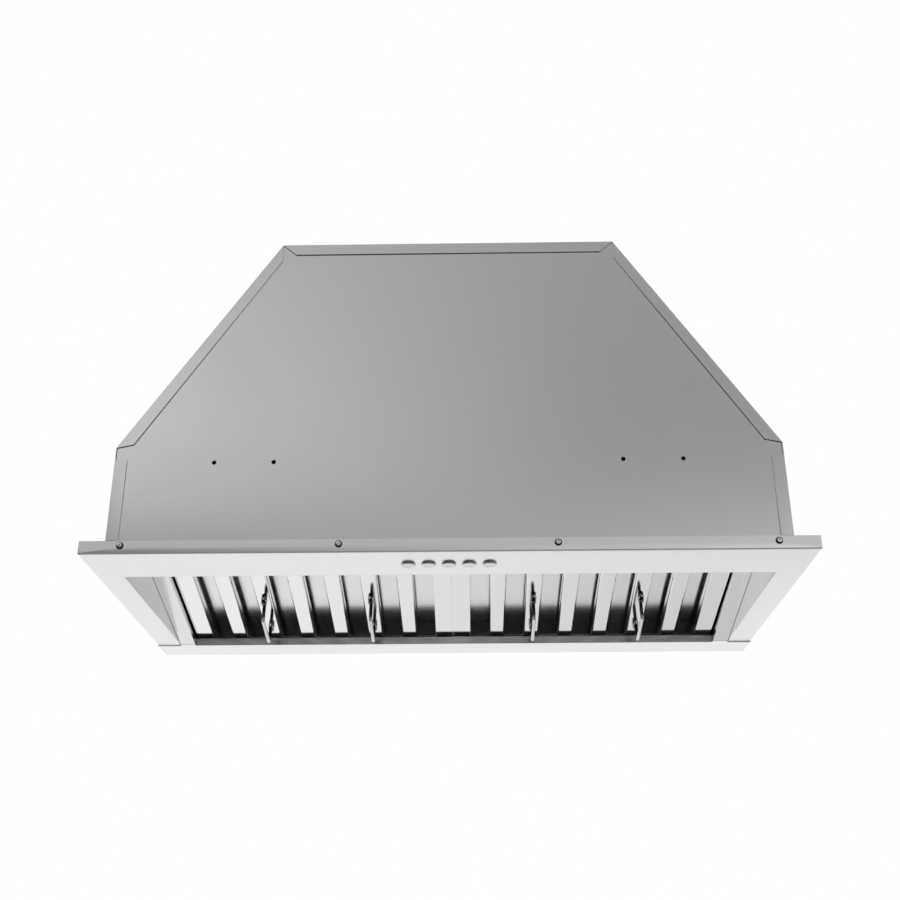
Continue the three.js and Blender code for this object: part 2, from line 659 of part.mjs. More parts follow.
const boxInset = 64.5;           // right side of the box to the side wall
const boxWide = 120;
const boxLeft = halfBody - boxInset - boxWide;
const boxFloor = 120;
const boxHigh = 62;
const boxDeep = 58;
const boxBack = panelBack - gap;
const boxFront = boxBack - boxDeep;
const inset = (d) => block(boxLeft + d, boxLeft + boxWide - d, boxFront - 1, boxBack - d,
  boxFloor + d, boxFloor + boxHigh - d);
const boxShell = block(boxLeft, boxLeft + boxWide, boxFront, boxBack, boxFloor, boxFloor + boxHigh)
  .subtract(inset(sheet));
const postHigh = 9;
const posts = [[12, 10], [boxWide - 12, 10], [12, boxHigh - 10], [boxWide - 12, boxHigh - 10]]
  .map(([x, z]) => rodY(boxLeft + x, boxBack - postHigh, boxBack - sheet / 2, boxFloor + z, 6, 12));
unit.add(piece('control_box', union([boxShell, ...posts]), zincSteel));
const lid = block(boxLeft - 4, boxLeft + boxWide + 4, boxFront - gap - sheet, boxFront - gap,
  boxFloor - 4, boxFloor + boxHigh + 4);
unit.add(piece('control_box_lid', lid, zincSteel));
const boardBack = boxBack - postHigh - gap;
const boardInset = 5;
const transformer = { left: 14, wide: 30, foot: 14, high: 28, deep: 24 };
const relay = { left: 54, wide: 18, foot: 12, high: 14, deep: 16 };
let board = block(boxLeft + boardInset, boxLeft + boxWide - boardInset, boardBack - boardThick, boardBack,
  boxFloor + boardInset, boxFloor + boxHigh - boardInset);
for (const part of [transformer, relay]) {
  board = board.add(block(boxLeft + part.left, boxLeft + part.left + part.wide,
    boardBack - part.deep, boardBack - boardThick / 2,
    boxFloor + part.foot, boxFloor + part.foot + part.high));
}
unit.add(piece('control_board', board, boardGreen));
const capacitorDiameter = 30;
const capacitorHigh = 46.7;
const capacitorFoot = boxFloor + sheet + gap;
const capacitor = rod(boxLeft + boxWide - capacitorDiameter / 2 - 13, boardBack - capacitorDiameter / 2 - 5,
  capacitorFoot, capacitorFoot + capacitorHigh, capacitorDiameter, 28);
unit.add(piece('run_capacitor', capacitor, whitePlastic));

// ---------------------------------------------------------------- lamps

const lampHole = lampDiameter / 2;
const lensRadius = lampHole - 3;
for (const [side, place] of [['left', -lampSpread], ['right', lampSpread]]) {
  const bodyProfile = [
    [lensRadius + gap, -1.8], [lampHole + 3, -1.4], [lampHole + 3, -gap], [lampHole - 0.4, -gap],
    [lampHole - 0.4, 12], [0, 12], [0, 1.2], [lensRadius + gap, 1.2], [lensRadius + gap, -1.8],
  ];
  const lathe = new THREE.LatheGeometry(bodyProfile.map(([r, z]) => new THREE.Vector2(r, z)), 32);
  const lampBody = solid(lathe.rotateX(Math.PI / 2));
  slope.add(piece(`lamp_body_${side}`, lampBody.translate([place, lampY, 0]), satinSteel));
  const lens = rod(place, lampY, -1.4, 1.2 - gap, 2 * lensRadius, 36);
  slope.add(piece(`lamp_lens_${side}`, lens, lampGlass));
}

// ---------------------------------------------------------------- baffle filters

const faceZ = lipHeight + gap;               // front faces of the baffles
const filterTop = faceZ + filterDepth;
const pivotZ = faceZ - pivotDrop;
const gripZ = pivotZ - handleDrop;
const clipBore = handleWire + 2 * gap;
const handleBaffles = [1, 4];                // counted from the inner end of each filter

function filterFrame(x0) {
  const x1 = x0 + filterWidth;
  const t = filterSheet;
  const back = 0;
  const front = -filterLength;
  const ringWall = block(x0, x1, front, back, faceZ, filterTop)
    .subtract(block(x0 + t, x1 - t, front + t, back - t, faceZ - 1, filterTop - t))
    .subtract(block(x0 + 9, x1 - 9, front + 9, back - 9, faceZ, filterTop + 1));
  const parts = [ringWall];
  const channel = (a, b) => {
    parts.push(block(a, b, front, back, faceZ, faceZ + t));
    if (a > x0) parts.push(block(a, a + t, front, back, faceZ, faceZ + baffleWall));
    if (b < x1) parts.push(block(b - t, b, front, back, faceZ, faceZ + baffleWall));
  };
  channel(x0, x0 + endBand);
  channel(x1 - endBand, x1);
  for (let i = 0; i < baffleCount; i += 1) {
    const a = x0 + endBand + slotWidth + i * bafflePitch;
    channel(a, a + baffleFace);
  }
  for (const x of [x0 + 40, x1 - 40]) {      // hooks that lie over the front lip
    parts.push(block(x - 15, x + 15, front - 8, front + 1, faceZ, faceZ + 1));
  }
  let frame = union(parts);
  for (const x of handlePlaces(x0)) {
    for (const y of clipPlaces()) {
      frame = frame.add(block(x - 3.6, x + 3.6, y, y + clipLength, pivotZ - 3.2, faceZ + t / 2));
    }
  }
  for (const x of handlePlaces(x0)) {
    frame = frame.subtract(rodY(x, -filterLength, 0, pivotZ, clipBore, 16));
  }
  return frame;
}

function handlePlaces(x0) {
  return handleBaffles.map((i) => x0 + endBand + slotWidth + i * bafflePitch + baffleFace / 2);
}
function clipPlaces() {
  const off = handleWire / 2 + gap;
  return [-handleRear + off, -handleRear - handleSpan - off - clipLength];
}

function rearBaffles(x0) {
  const t = filterSheet;
  const back = -t - gap;
  const front = -filterLength + t + gap;
  const top = filterTop - t - gap;
  const parts = [];
  for (let i = 0; i <= baffleCount; i += 1) {
    const a = x0 + endBand + i * bafflePitch - rearBaffleLap;
    const b = a + slotWidth + 2 * rearBaffleLap;
    parts.push(block(a, b, front, back, top - t, top));
    parts.push(block(a, a + t, front, back, top - rearBaffleWall, top));
    parts.push(block(b - t, b, front, back, top - rearBaffleWall, top));
  }
  const first = x0 + endBand;
  const last = x0 + filterWidth - endBand;
  for (const y of [front, (front + back) / 2 - 6, back - 12]) {
    parts.push(block(first, last, y, y + 12, top - t, top));
  }
  return union(parts);
}

// a bail: one bent wire whose outward ends turn in the two clips
function bail(x) {
  const rear = -handleRear;
  const front = rear - handleSpan;
  const pin = handleWire / 2 + gap + clipLength + 1;
  const bend = 4;
  const corners = [
    [front - pin, pivotZ], [front, pivotZ], [front, gripZ],
    [rear, gripZ], [rear, pivotZ], [rear + pin, pivotZ],
  ].map(([y, z]) => new THREE.Vector3(x, y, z));
  const path = new THREE.CurvePath();
  let from = corners[0];
  for (let i = 1; i < corners.length - 1; i += 1) {
    const radius = i === 1 || i === 4 ? handleWire * 0.45 : bend;
    const before = corners[i].clone().lerp(corners[i - 1], radius / corners[i].distanceTo(corners[i - 1]));
    const after = corners[i].clone().lerp(corners[i + 1], radius / corners[i].distanceTo(corners[i + 1]));
    path.add(new THREE.LineCurve3(from, before));
    path.add(new THREE.QuadraticBezierCurve3(before, corners[i], after));
    from = after;
  }
  path.add(new THREE.LineCurve3(from, corners[5]));
  const sides = 8;
  const section = shapeOf(Array.from({ length: sides }, (_, i) => {
    const angle = (2 * Math.PI * (i + 0.5)) / sides;
    return [(handleWire / 2) * Math.cos(angle), (handleWire / 2) * Math.sin(angle)];
  }));
  return solid(new THREE.ExtrudeGeometry(section,
    { steps: 34, extrudePath: path, bevelEnabled: false }));
}

const filterStarts = { left: -filterGap / 2 - filterWidth, right: filterGap / 2 };
for (const [side, x0] of Object.entries(filterStarts)) {
  slope.add(piece(`filter_frame_${side}`, filterFrame(x0), brightSteel));
  slope.add(piece(`rear_baffles_${side}`, rearBaffles(x0), brightSteel));
  const places = handlePlaces(x0);
  slope.add(piece(`handle_${side}_a`, bail(places[0]), chrome));
  slope.add(piece(`handle_${side}_b`, bail(places[1]), chrome));
}

// leaf springs on the back border that press on the rear of each filter
const leafY = rearLipFront + sheet + 3;
const leafHalf = 18;
for (const [side, x0] of Object.entries(filterStarts)) {
  const x = x0 + filterWidth / 2;
  const leaf = slabX([
    [leafY, sheet + gap], [leafY + 12, sheet + gap], [leafY + 12, sheet + gap + 0.8],
    [leafY + 0.8, sheet + gap + 0.8], [leafY + 0.8, 30], [leafY, 30], [leafY, 28],
    [leafY - 1.3, 26.5], [leafY - 1.3, 25.5], [leafY, 24],
  ], x - leafHalf, x + leafHalf);
  unit.add(piece(`catch_spring_${side}`, leaf, zincSteel));
}

// ---------------------------------------------------------------- screws in the front lip

lipScrews.forEach((x, i) => {
  const head = screwHead / 2;
  const profile = [
    [0, -2.3], [head * 0.55, -2.1], [head * 0.88, -1.4], [head, -gap],
    [1.9, -gap], [1.9, 7], [0, 8],
  ];
  const lathe = new THREE.LatheGeometry(profile.map(([r, y]) => new THREE.Vector2(r, y)), 14);
  const screw = solid(lathe)
    .subtract(block(-2.2, 2.2, -3, -1.3, -0.45, 0.45))
    .subtract(block(-0.45, 0.45, -3, -1.3, -2.2, 2.2))
    .translate([x, 0, lipScrewHeight]);
  unit.add(piece(`lip_screw_${i + 1}`, screw, chrome));
});

export default hood;
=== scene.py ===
import math

import bmesh
import bpy
from mathutils import Matrix, Vector


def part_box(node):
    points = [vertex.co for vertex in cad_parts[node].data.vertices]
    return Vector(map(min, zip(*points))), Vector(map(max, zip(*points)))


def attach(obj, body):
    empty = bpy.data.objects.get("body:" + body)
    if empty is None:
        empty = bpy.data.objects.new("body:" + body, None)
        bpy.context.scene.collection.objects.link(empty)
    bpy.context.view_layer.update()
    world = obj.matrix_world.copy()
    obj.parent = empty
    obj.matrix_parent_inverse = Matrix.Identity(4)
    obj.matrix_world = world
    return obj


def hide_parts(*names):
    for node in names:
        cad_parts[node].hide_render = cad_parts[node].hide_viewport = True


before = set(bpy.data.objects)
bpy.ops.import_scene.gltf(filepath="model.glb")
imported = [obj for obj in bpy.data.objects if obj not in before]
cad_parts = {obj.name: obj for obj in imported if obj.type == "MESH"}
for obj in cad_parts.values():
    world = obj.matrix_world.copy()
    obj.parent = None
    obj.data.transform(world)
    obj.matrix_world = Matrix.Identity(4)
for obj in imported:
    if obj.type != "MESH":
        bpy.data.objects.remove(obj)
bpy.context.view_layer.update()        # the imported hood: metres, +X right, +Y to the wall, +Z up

MM = 0.001

# ---------------- camera
# The hood hangs above eye height and is seen from the front and a little below, with a
# normal lens. The place and angles were solved on the straight edges of the rim and body.
camera_place = Vector((0.0196, -1.3100, -0.4069))
camera_yaw, camera_pitch, camera_roll = (math.radians(a) for a in (-0.905, 24.087, -0.162))
sensor_width = 36.0
focal_length = 48.99


def add_object(name, data):
    obj = bpy.data.objects.new(name, data)
    bpy.context.scene.collection.objects.link(obj)
    return obj


sight = Vector((math.sin(camera_yaw) * math.cos(camera_pitch),
                math.cos(camera_yaw) * math.cos(camera_pitch), math.sin(camera_pitch)))
level = Vector((math.cos(camera_yaw), -math.sin(camera_yaw), 0))
upright = level.cross(sight)
cam_right = level * math.cos(camera_roll) + upright * math.sin(camera_roll)
cam_up = upright * math.cos(camera_roll) - level * math.sin(camera_roll)

lens = bpy.data.cameras.new("camera")
lens.sensor_width = sensor_width
lens.lens = focal_length
camera = add_object("camera", lens)
camera.matrix_world = Matrix.Translation(camera_place) @ Matrix(
    (cam_right, cam_up, -sight)).transposed().to_4x4()
bpy.context.scene.camera = camera

# ---------------- studio
# A plain white surround, a pale floor well below the hood, and two soft lamps. Two grey cards, and four
# black sheets of painted reflection that only the steel's reflections see, stand where the view doesn't
# show them, for the steel to mirror.
bpy.context.scene.view_settings.view_transform = "Standard"
floor_height = -1.75
floor_half = 4.0
world_fill = 0.62
white = (1, 1, 1, 1)


def material(name, uniform):
    """A new material and its node tree, with the uniform values set on the shader."""
    made = bpy.data.materials.new(name)
    made.use_nodes = True
    shader = made.node_tree.nodes["Principled BSDF"]
    for label, value in uniform.items():
        shader.inputs[label].default_value = value
    return made, made.node_tree


def feed(tree, label, value):
    """The shader of the tree takes a value that varies over the surface."""
    tree.links.new(value, tree.nodes["Principled BSDF"].inputs[label])


def new_node(tree, kind, inputs, **settings):
    """The outputs of a new node, whose inputs are linked to a socket or set to a value."""
    node = tree.nodes.new(kind)
    for label, value in settings.items():
        setattr(node, label, value)
    for label, value in inputs.items():
        if isinstance(value, bpy.types.NodeSocket):
            tree.links.new(value, node.inputs[label])
        else:
            node.inputs[label].default_value = value
    return node.outputs


def calculated(tree, operation, *values):
    return new_node(tree, "ShaderNodeMath", dict(enumerate(values)), operation=operation)[0]


def ranged(tree, value, start, end, reach=(0, 1)):
    """The value, carried from its reach to the range from start to end."""
    return new_node(tree, "ShaderNodeMapRange", {
        "Value": value, "From Min": reach[0], "From Max": reach[1],
        "To Min": start, "To Max": end})["Result"]


def object_place(tree):
    return new_node(tree, "ShaderNodeTexCoord", {})["Object"]


def plane(name, low, high, finish):
    """An upright or level rectangle between two opposite corners."""
    first = next(i for i in range(3) if low[i] != high[i])
    after_low, after_high = list(low), list(high)
    after_low[first], after_high[first] = high[first], low[first]
    mesh = bpy.data.meshes.new(name)
    mesh.from_pydata([low, after_low, high, after_high], [], [(0, 1, 2, 3)])
    mesh.materials.append(finish)
    return add_object(name, mesh)


# Painted reflection: for mirrored rays the floor glows, brighter towards the key lamp's side, as a painted
# pool of lamp light that the steel mirrors.
floor_paint, tree = material("pale_floor", {
    "Base Color": (0.86, 0.86, 0.85, 1), "Roughness": 0.9, "Specular IOR Level": 0.0,
    "Emission Color": white})
rays = new_node(tree, "ShaderNodeLightPath", {})
floor_x = new_node(tree, "ShaderNodeSeparateXYZ", {0: object_place(tree)})["X"]
painted_lamp_pool_glow = ranged(tree, floor_x, 0.34, 0.06, (-0.7, 0.7))
seen_glow = calculated(tree, "MULTIPLY", rays["Is Camera Ray"], 0.30)
glossy_glow = calculated(tree, "MULTIPLY", rays["Is Glossy Ray"], painted_lamp_pool_glow)
feed(tree, "Emission Strength", calculated(tree, "ADD", seen_glow, glossy_glow))
plane("floor", (-floor_half, -floor_half, floor_height),
               (floor_half, floor_half, floor_height), floor_paint)

world = bpy.data.worlds.new("surround")
bpy.context.scene.world = world
world.use_nodes = True
tree = world.node_tree
background = tree.nodes["Background"].inputs
background["Color"].default_value = white
rays = new_node(tree, "ShaderNodeLightPath", {})
seen = calculated(tree, "MAXIMUM", rays["Is Camera Ray"], rays["Is Glossy Ray"])
clear = calculated(tree, "MAXIMUM", seen, rays["Is Transmission Ray"])
tree.links.new(ranged(tree, clear, world_fill, 1), background["Strength"])

lamp_target, lamp_size = Vector((0, 0, 0.1)), 1.6
for name, place, power in (("key_lamp", (-2.2, -2.4, 1.2), 22), ("back_lamp", (1.8, 2.2, 1.6), 20)):
    light = bpy.data.lights.new(name, "AREA")
    light.shape = "RECTANGLE"
    light.size = light.size_y = lamp_size
    light.energy = power
    lamp = add_object(name, light)
    lamp.location = place
    lamp.rotation_euler = (lamp_target - Vector(place)).to_track_quat("-Z", "Y").to_euler()
    lamp.visible_glossy = False

# Each card's glow changes from left to right. High up, the upper card evens out.
card_distance, card_half = -4.0, 9.0
card_split, card_top = 1.45, 9.0
card_mean, card_fade = 0.50, (1.6, 2.9)
card_falls = {"upper_card": (card_split, card_top, (-2.2, 0.6), 1.22, 0.37),
              "lower_card": (floor_height, card_split, (-2.0, 2.0), 0.10, 0.92)}
for name, (bottom, top, fall_reach, left_glow, right_glow) in card_falls.items():
    card_paint, tree = material(name, {})
    axes = new_node(tree, "ShaderNodeSeparateXYZ", {0: object_place(tree)})
    fall = ranged(tree, axes["X"], left_glow - card_mean, right_glow - card_mean, fall_reach)
    rise = ranged(tree, axes["Z"], 1.0, 0.3, card_fade)
    card_glow = calculated(tree, "MULTIPLY_ADD", fall, rise, card_mean)
    glow = new_node(tree, "ShaderNodeEmission", {"Strength": card_glow})
    tree.links.new(glow[0], tree.nodes["Material Output"].inputs["Surface"])
    card = plane(name, (-card_half, card_distance, bottom), (card_half, card_distance, top), card_paint)
    card.visible_camera = False

# Four black sheets of painted reflection: one hangs low behind the camera, one lies on the floor, and one
# hangs at each side.
# Only glossy rays see them, so they darken what edges, bends, screws and wires mirror. They glow dark grey
# in a first mirror image and stay black in later ones.
mirrored_shade_distance, mirrored_shade_half, mirrored_shade_top = -2.4, 6.0, -0.30
mirrored_shade_near, mirrored_shade_low = -0.25, floor_height + 0.02
side_distance, side_far = 3.0, 1.0
mirrored_shade_paint, tree = material("painted_mirrored_shade", {
    "Base Color": (0.004, 0.004, 0.004, 1), "Roughness": 1.0, "Specular IOR Level": 0.0,
    "Emission Color": white})
rays = new_node(tree, "ShaderNodeLightPath", {})
# painted reflection: a dark grey glow only in a first mirror image
first_image = calculated(tree, "LESS_THAN", rays["Ray Depth"], 1.5)
feed(tree, "Emission Strength", calculated(tree, "MULTIPLY", first_image, 0.26))
mirrored_shades = {"hung_mirrored_shade": (-mirrored_shade_half, (mirrored_shade_half, mirrored_shade_distance, mirrored_shade_top)),
          "laid_mirrored_shade": (-mirrored_shade_half, (mirrored_shade_half, mirrored_shade_near, mirrored_shade_low)),
          "side_mirrored_shade_left": (-side_distance, (-side_distance, side_far, mirrored_shade_top)),
          "side_mirrored_shade_right": (side_distance, (side_distance, side_far, mirrored_shade_top))}
for name, (start, far_corner) in mirrored_shades.items():
    mirrored_shade = plane(name, (start, mirrored_shade_distance, mirrored_shade_low), far_corner, mirrored_shade_paint)
    mirrored_shade.visible_camera = mirrored_shade.visible_diffuse = mirrored_shade.visible_shadow = False


# ---------------- rim and filter tray
# The rim is a pan of satin stainless steel, folded so that its border frames the recess and its
# flange seats on the cabinet. The sloping tray and the back border are one more sheet. Bends are
# rounded as a press brake leaves them, and cut edges are only just broken.
def node_group(name, kind, inputs, outputs):
    """A node group with named sockets, and the sockets to which its own nodes are linked."""
    tree = bpy.data.node_groups.new(name, kind)
    for in_out, sockets in (("INPUT", inputs), ("OUTPUT", outputs)):
        for label, value in sockets.items():
            tree.interface.new_socket(label, in_out=in_out, socket_type="NodeSocket" + value)
    return tree, tree.nodes.new("NodeGroupInput").outputs, tree.nodes.new("NodeGroupOutput").inputs


def rolled_grain():
    """Fine lines along the rolling direction, wider streaks, and slow clouds."""
    tree, taken, given = node_group("rolled_grain", "ShaderNodeTree", {"Density": "Vector"},
                                    {"Height": "Float", "Streak": "Float", "Cloud": "Float"})
    place = object_place(tree)
    fine = new_node(tree, "ShaderNodeVectorMath", {0: place, 1: taken["Density"]}, operation="MULTIPLY")[0]
    wide = new_node(tree, "ShaderNodeVectorMath", {0: fine, "Scale": 0.12}, operation="SCALE")[0]
    for label, vector, scale, detail in (
            ("Height", fine, 1.0, 3.0), ("Streak", wide, 1.0, 2.0), ("Cloud", place, 3.0, 4.0)):
        noise = new_node(tree, "ShaderNodeTexNoise", {"Vector": vector, "Scale": scale, "Detail": detail})
        tree.links.new(noise["Fac"], given[label])
    return tree


grain = rolled_grain()


def grained(name, density, glossiest, dullest, uniform):
    """A material with the grain's streaks in its gloss, and the outputs of its grain group."""
    made, tree = material(name, uniform)
    group = tree.nodes.new("ShaderNodeGroup")
    group.node_tree = grain
    group.inputs["Density"].default_value = density
    feed(tree, "Roughness", ranged(tree, group.outputs["Streak"], glossiest, dullest))
    return made, tree, group.outputs


def bumped(tree, height, distance, strength=1.0):
    bump = new_node(tree, "ShaderNodeBump", {"Height": height, "Distance": distance, "Strength": strength})
    feed(tree, "Normal", bump["Normal"])


def steel(name, color, roughness, density, height=0.02 * MM, spread=0.06, tone=0.03):
    """Rolled sheet metal: grain in the bump, streaks in the gloss, clouds in the tone."""
    made, tree, marks = grained(name, density, roughness - spread, roughness + spread, {"Metallic": 1.0})
    dark, light = ((*(c * (1 + s * tone) for c in color), 1) for s in (-1, 1))
    tint = new_node(tree, "ShaderNodeMix", {"Factor": marks["Cloud"], "A": dark, "B": light},
                    data_type="RGBA")
    feed(tree, "Base Color", tint["Result"])
    bumped(tree, marks["Height"], height, 0.4)
    return made


def form_object(name, form):
    mesh = bpy.data.meshes.new(name)
    form.to_mesh(mesh)
    form.free()
    return add_object(name, mesh)


def face_width(face):
    return face.calc_area() / max(1e-6, *(e.calc_length() for e in face.edges))


def creased(name, form, curved=False):
    """The form as an object whose wide faces shade dead flat and whose bends run between them.

    With curved, wide faces that meet at a shallow angle are facets of a curve, and shade as one."""
    form.normal_update()
    flat_width = 1.0 * MM
    shallow, facet_turn, reach = (math.radians(a) for a in (2, 30, 62))
    wide = {f for f in form.faces if face_width(f) > flat_width}
    facets = {f for e in form.edges
              if curved and len(e.link_faces) == 2 and wide.issuperset(e.link_faces)
              and shallow < e.calc_face_angle(0) < facet_turn for f in e.link_faces}
    normals = []
    for f in form.faces:
        for corner in f.loops:
            if f in wide and f not in facets:
                normals.append(f.normal.copy())
                continue
            limit = facet_turn if f in facets else reach
            near = [n for n in corner.vert.link_faces if n.normal.angle(f.normal, 9) < limit]
            flats = [n for n in near if n in wide and n not in facets]
            if flats:
                normals.append(min(flats, key=lambda n: n.normal.angle(f.normal, 9)).normal.copy())
            else:
                kept = [n for n in near if n in facets] or near
                normals.append(sum((n.normal for n in kept), Vector()).normalized())
    obj = form_object(name, form)
    obj.data.shade_smooth()
    obj.data.normals_split_custom_set(normals)
    return obj


def softened(node, name, bend=0.4 * MM, edge=0.12 * MM, chosen=None, shape=None, curved=False):
    """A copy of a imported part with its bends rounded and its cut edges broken.

    chosen is a test on an edge's middle, an offset and steps, for edges that are rounded more.
    shape is a last change to the form."""
    sheet_width, least_turn = 1.7 * MM, math.radians(28)
    least_bend, least_edge = 4 * MM, 0.5 * MM
    form = bmesh.new()
    form.from_mesh(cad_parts[node].data)
    bmesh.ops.remove_doubles(form, verts=form.verts, dist=0.004 * MM)
    bmesh.ops.dissolve_limit(form, angle_limit=math.radians(1), verts=form.verts, edges=form.edges)

    def corners(wide, least):
        sharp = [e for e in form.edges if len(e.link_faces) == 2 and e.calc_length() >= least
                 and abs(e.calc_face_angle_signed(0)) >= least_turn]
        return [e for e in sharp if (min(face_width(f) for f in e.link_faces) > sheet_width) == wide
                and (not wide or e.is_convex)]

    def rounded(edges, offset, steps, clamped=True):
        bmesh.ops.bevel(form, geom=edges, offset=offset, segments=steps, profile=0.5,
                        affect="EDGES", clamp_overlap=clamped)

    if chosen:
        test, offset, steps = chosen
        rounded([e for e in corners(True, least_bend) + corners(False, least_bend)
                 if test((e.verts[0].co + e.verts[1].co) / 2)], offset, steps, clamped=False)
    if bend:
        rounded(corners(True, least_bend), bend, 3)
    rounded(corners(False, least_edge), edge, 1)
    if shape:
        shape(form)
    return creased(name, form, curved=curved)


def fitted(piece, body, slot, *nodes, finish=None):
    """The piece takes its finish, rides on its body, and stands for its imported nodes."""
    if finish:
        piece.data.materials.clear()
        piece.data.materials.append(finish)
    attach(piece, body)
    if nodes:
        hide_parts(*nodes)


def packed_part(node, name, body, slot, finish, **changes):
    """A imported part, softened and fitted in its own place."""
    fitted(softened(node, name, **changes), body, slot, node, finish=finish)


along_x = (14, 1500, 1500)
along_y = (1500, 14, 1500)
satin_color = (0.78, 0.785, 0.79)
satin_steel = steel("satin_steel", satin_color, 0.24, along_x)
tray_steel = steel("tray_steel", satin_color, 0.20, along_x, 0.012 * MM, 0.04)
painted_shade_steel = steel("painted_shade_steel", (0.30, 0.30, 0.30), 0.35, along_x)    # painted shade: a dark steel for sheet that faces inwards into the hood's shade
rim_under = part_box("rim_pan")[0].z
back_border = 144.3 * MM                  # where the side borders end and the back border starts
lap_start = 331.6 * MM                    # from here outwards the back border laps a side border
lap_length = 6 * MM
lap_top, lap_middle = 1.1 * MM, 0.5 * MM  # of the border's sheet, over the rim's underside
lap_drop, lap_tuck = 1.1 * MM, 0.7 * MM   # the lap goes down, and its upper face also forward


def rim_bend(middle):
    return middle.z < rim_under + 0.05 * MM and middle.y < back_border - 1 * MM


def lap_under(form):
    """The back border's two ends are joggled a sheet lower, where they lap the side borders."""
    for place, across in (((-lap_start, 0, 0), (1, 0, 0)), ((lap_start, 0, 0), (1, 0, 0)),
                          ((0, back_border + lap_length, 0), (0, 1, 0))):
        bmesh.ops.bisect_plane(form, geom=form.verts[:] + form.edges[:] + form.faces[:],
                               plane_co=place, plane_no=across)
    for v in form.verts:
        in_lap = abs(v.co.x) > lap_start + 0.05 * MM and v.co.y < back_border + 0.3 * MM
        if in_lap and v.co.z < rim_under + lap_top:
            lower = v.co.z < rim_under + lap_middle
            v.co += Vector((0, 0, -lap_drop) if lower else (0, -lap_tuck, 0.05 * MM - lap_drop))


for node, name, bend, finish, chosen, shape in (
        ("rim_pan", "rim", 0.4 * MM, satin_steel, (rim_bend, 1.8 * MM, 4), None),
        ("filter_tray", "tray", 2.2 * MM, tray_steel, None, lap_under),
        ("recess_wall_left", "recess_cheek_left", 1.3 * MM, satin_steel, None, None),
        ("recess_wall_right", "recess_cheek_right", 1.3 * MM, satin_steel, None, None),
        # the front cheek of the recess takes the dark steel of painted shade
        ("recess_front_wall", "recess_front_cheek", 1.3 * MM, painted_shade_steel, None, None)):
    packed_part(node, name, "hood", "satin_steel", finish, bend=bend, chosen=chosen, shape=shape)

# ---------------- body shell
# Two low side walls, two leaning walls and the top are bent over the front and back panels,
# all of plain mill-finish sheet. Two pairs of small holes take the screws to the cabinet.
shell_steel = steel("shell_steel", (0.66, 0.66, 0.655), 0.22, (150, 150, 150), 0.003 * MM, 0.02)
for node in ("side_panel_left", "side_panel_right", "slope_panel_left", "slope_panel_right",
             "top_panel", "front_panel", "back_panel"):
    packed_part(node, node.replace("panel", "skin"), "hood", "shell_steel", shell_steel,
                edge=(0.35 if "right" in node else 0.12) * MM)

# ---------------- baffle filters
# Each filter is a shallow folded frame of bright polished steel, spot-welded round the ends of
# two rows of channels bent from strip. Front channels with open slots between them stand before
# wider rear channels, so air turns twice and drops its grease.
tray_slope = 12.6                        # in degrees
tray_bend = Vector((0, 142.5 * MM, -14 * MM))
filter_width, filter_length, filter_depth = 311 * MM, 219.96 * MM, 20 * MM
filter_parting = 1 * MM                  # between the two filters
filter_face = 9.3 * MM                   # front faces above the tray's underside
filter_back = filter_face + filter_depth
filter_sheet = 0.8 * MM
channel_count, channel_face, channel_wall = 6, 18.6 * MM, 9 * MM
end_band, back_flange = 20.25 * MM, 9 * MM
slot_width = (filter_width - 2 * end_band - channel_count * channel_face) / (channel_count + 1)
channel_pitch = channel_face + slot_width
rear_lap, rear_wall = 5 * MM, 12 * MM
rear_level = filter_back - filter_sheet - 0.3 * MM
strip_bend, channel_bend, parting_bend = 1.3 * MM, 2.0 * MM, 0.15 * MM
rim_meets = 0.47 * MM                    # the two frames close the parting to a hairline
rim_swell = 1.2 * MM                     # the outer sides stand this far out towards the tray's lips
front_end, rear_end, rim_end = 0.2 * MM, filter_sheet + 0.3 * MM, 0.1 * MM
hook_inset, hook_half, hook_sheet = 40 * MM, 15 * MM, 1 * MM
hook_reach, hook_root = 8 * MM, 1 * MM

bright_steel = steel("bright_steel", (0.87, 0.87, 0.875), 0.10, along_y, 0.006 * MM, 0.02, 0.015)
dull_steel = steel("dull_steel", (0.80, 0.80, 0.80), 0.20, along_y, 0.006 * MM, 0.03, 0.03)


def spun(degrees, axis="Z"):
    return Matrix.Rotation(math.radians(degrees), 4, axis)


slope_place = Matrix.Translation(tray_bend) @ spun(-tray_slope, "X")


def real_and_painted(tree, geometry, finish, given):
    real = new_node(tree, "GeometryNodeRealizeInstances", {0: geometry})
    painted = new_node(tree, "GeometryNodeSetMaterial", {"Geometry": real[0], "Material": finish})
    tree.links.new(painted[0], given)


def copies():
    """Geometry nodes that repeat a shape, each copy shifted and turned by one more step."""
    tree, taken, given = node_group("copies", "GeometryNodeTree", {
        "Geometry": "Geometry", "Count": "Int", "Step": "Vector", "Turn": "Vector",
        "Finish": "Material"}, {"Geometry": "Geometry"})
    row = new_node(tree, "GeometryNodeMeshLine", {"Count": taken["Count"], "Offset": taken["Step"]})
    index = new_node(tree, "GeometryNodeInputIndex", {})
    angle = new_node(tree, "ShaderNodeVectorMath", {0: taken["Turn"], "Scale": index[0]},
                     operation="SCALE")
    placed = new_node(tree, "GeometryNodeInstanceOnPoints", {
        "Points": row["Mesh"], "Instance": taken["Geometry"], "Rotation": angle[0]})
    real_and_painted(tree, placed[0], taken["Finish"], given[0])
    return tree


copy_tree = copies()


def plain_mesh(obj):
    return bpy.data.meshes.new_from_object(obj.evaluated_get(bpy.context.evaluated_depsgraph_get()))


def settled(obj):
    """Every modifier of the object is made real."""
    mesh = plain_mesh(obj)
    obj.modifiers.clear()
    obj.data = mesh
    return obj


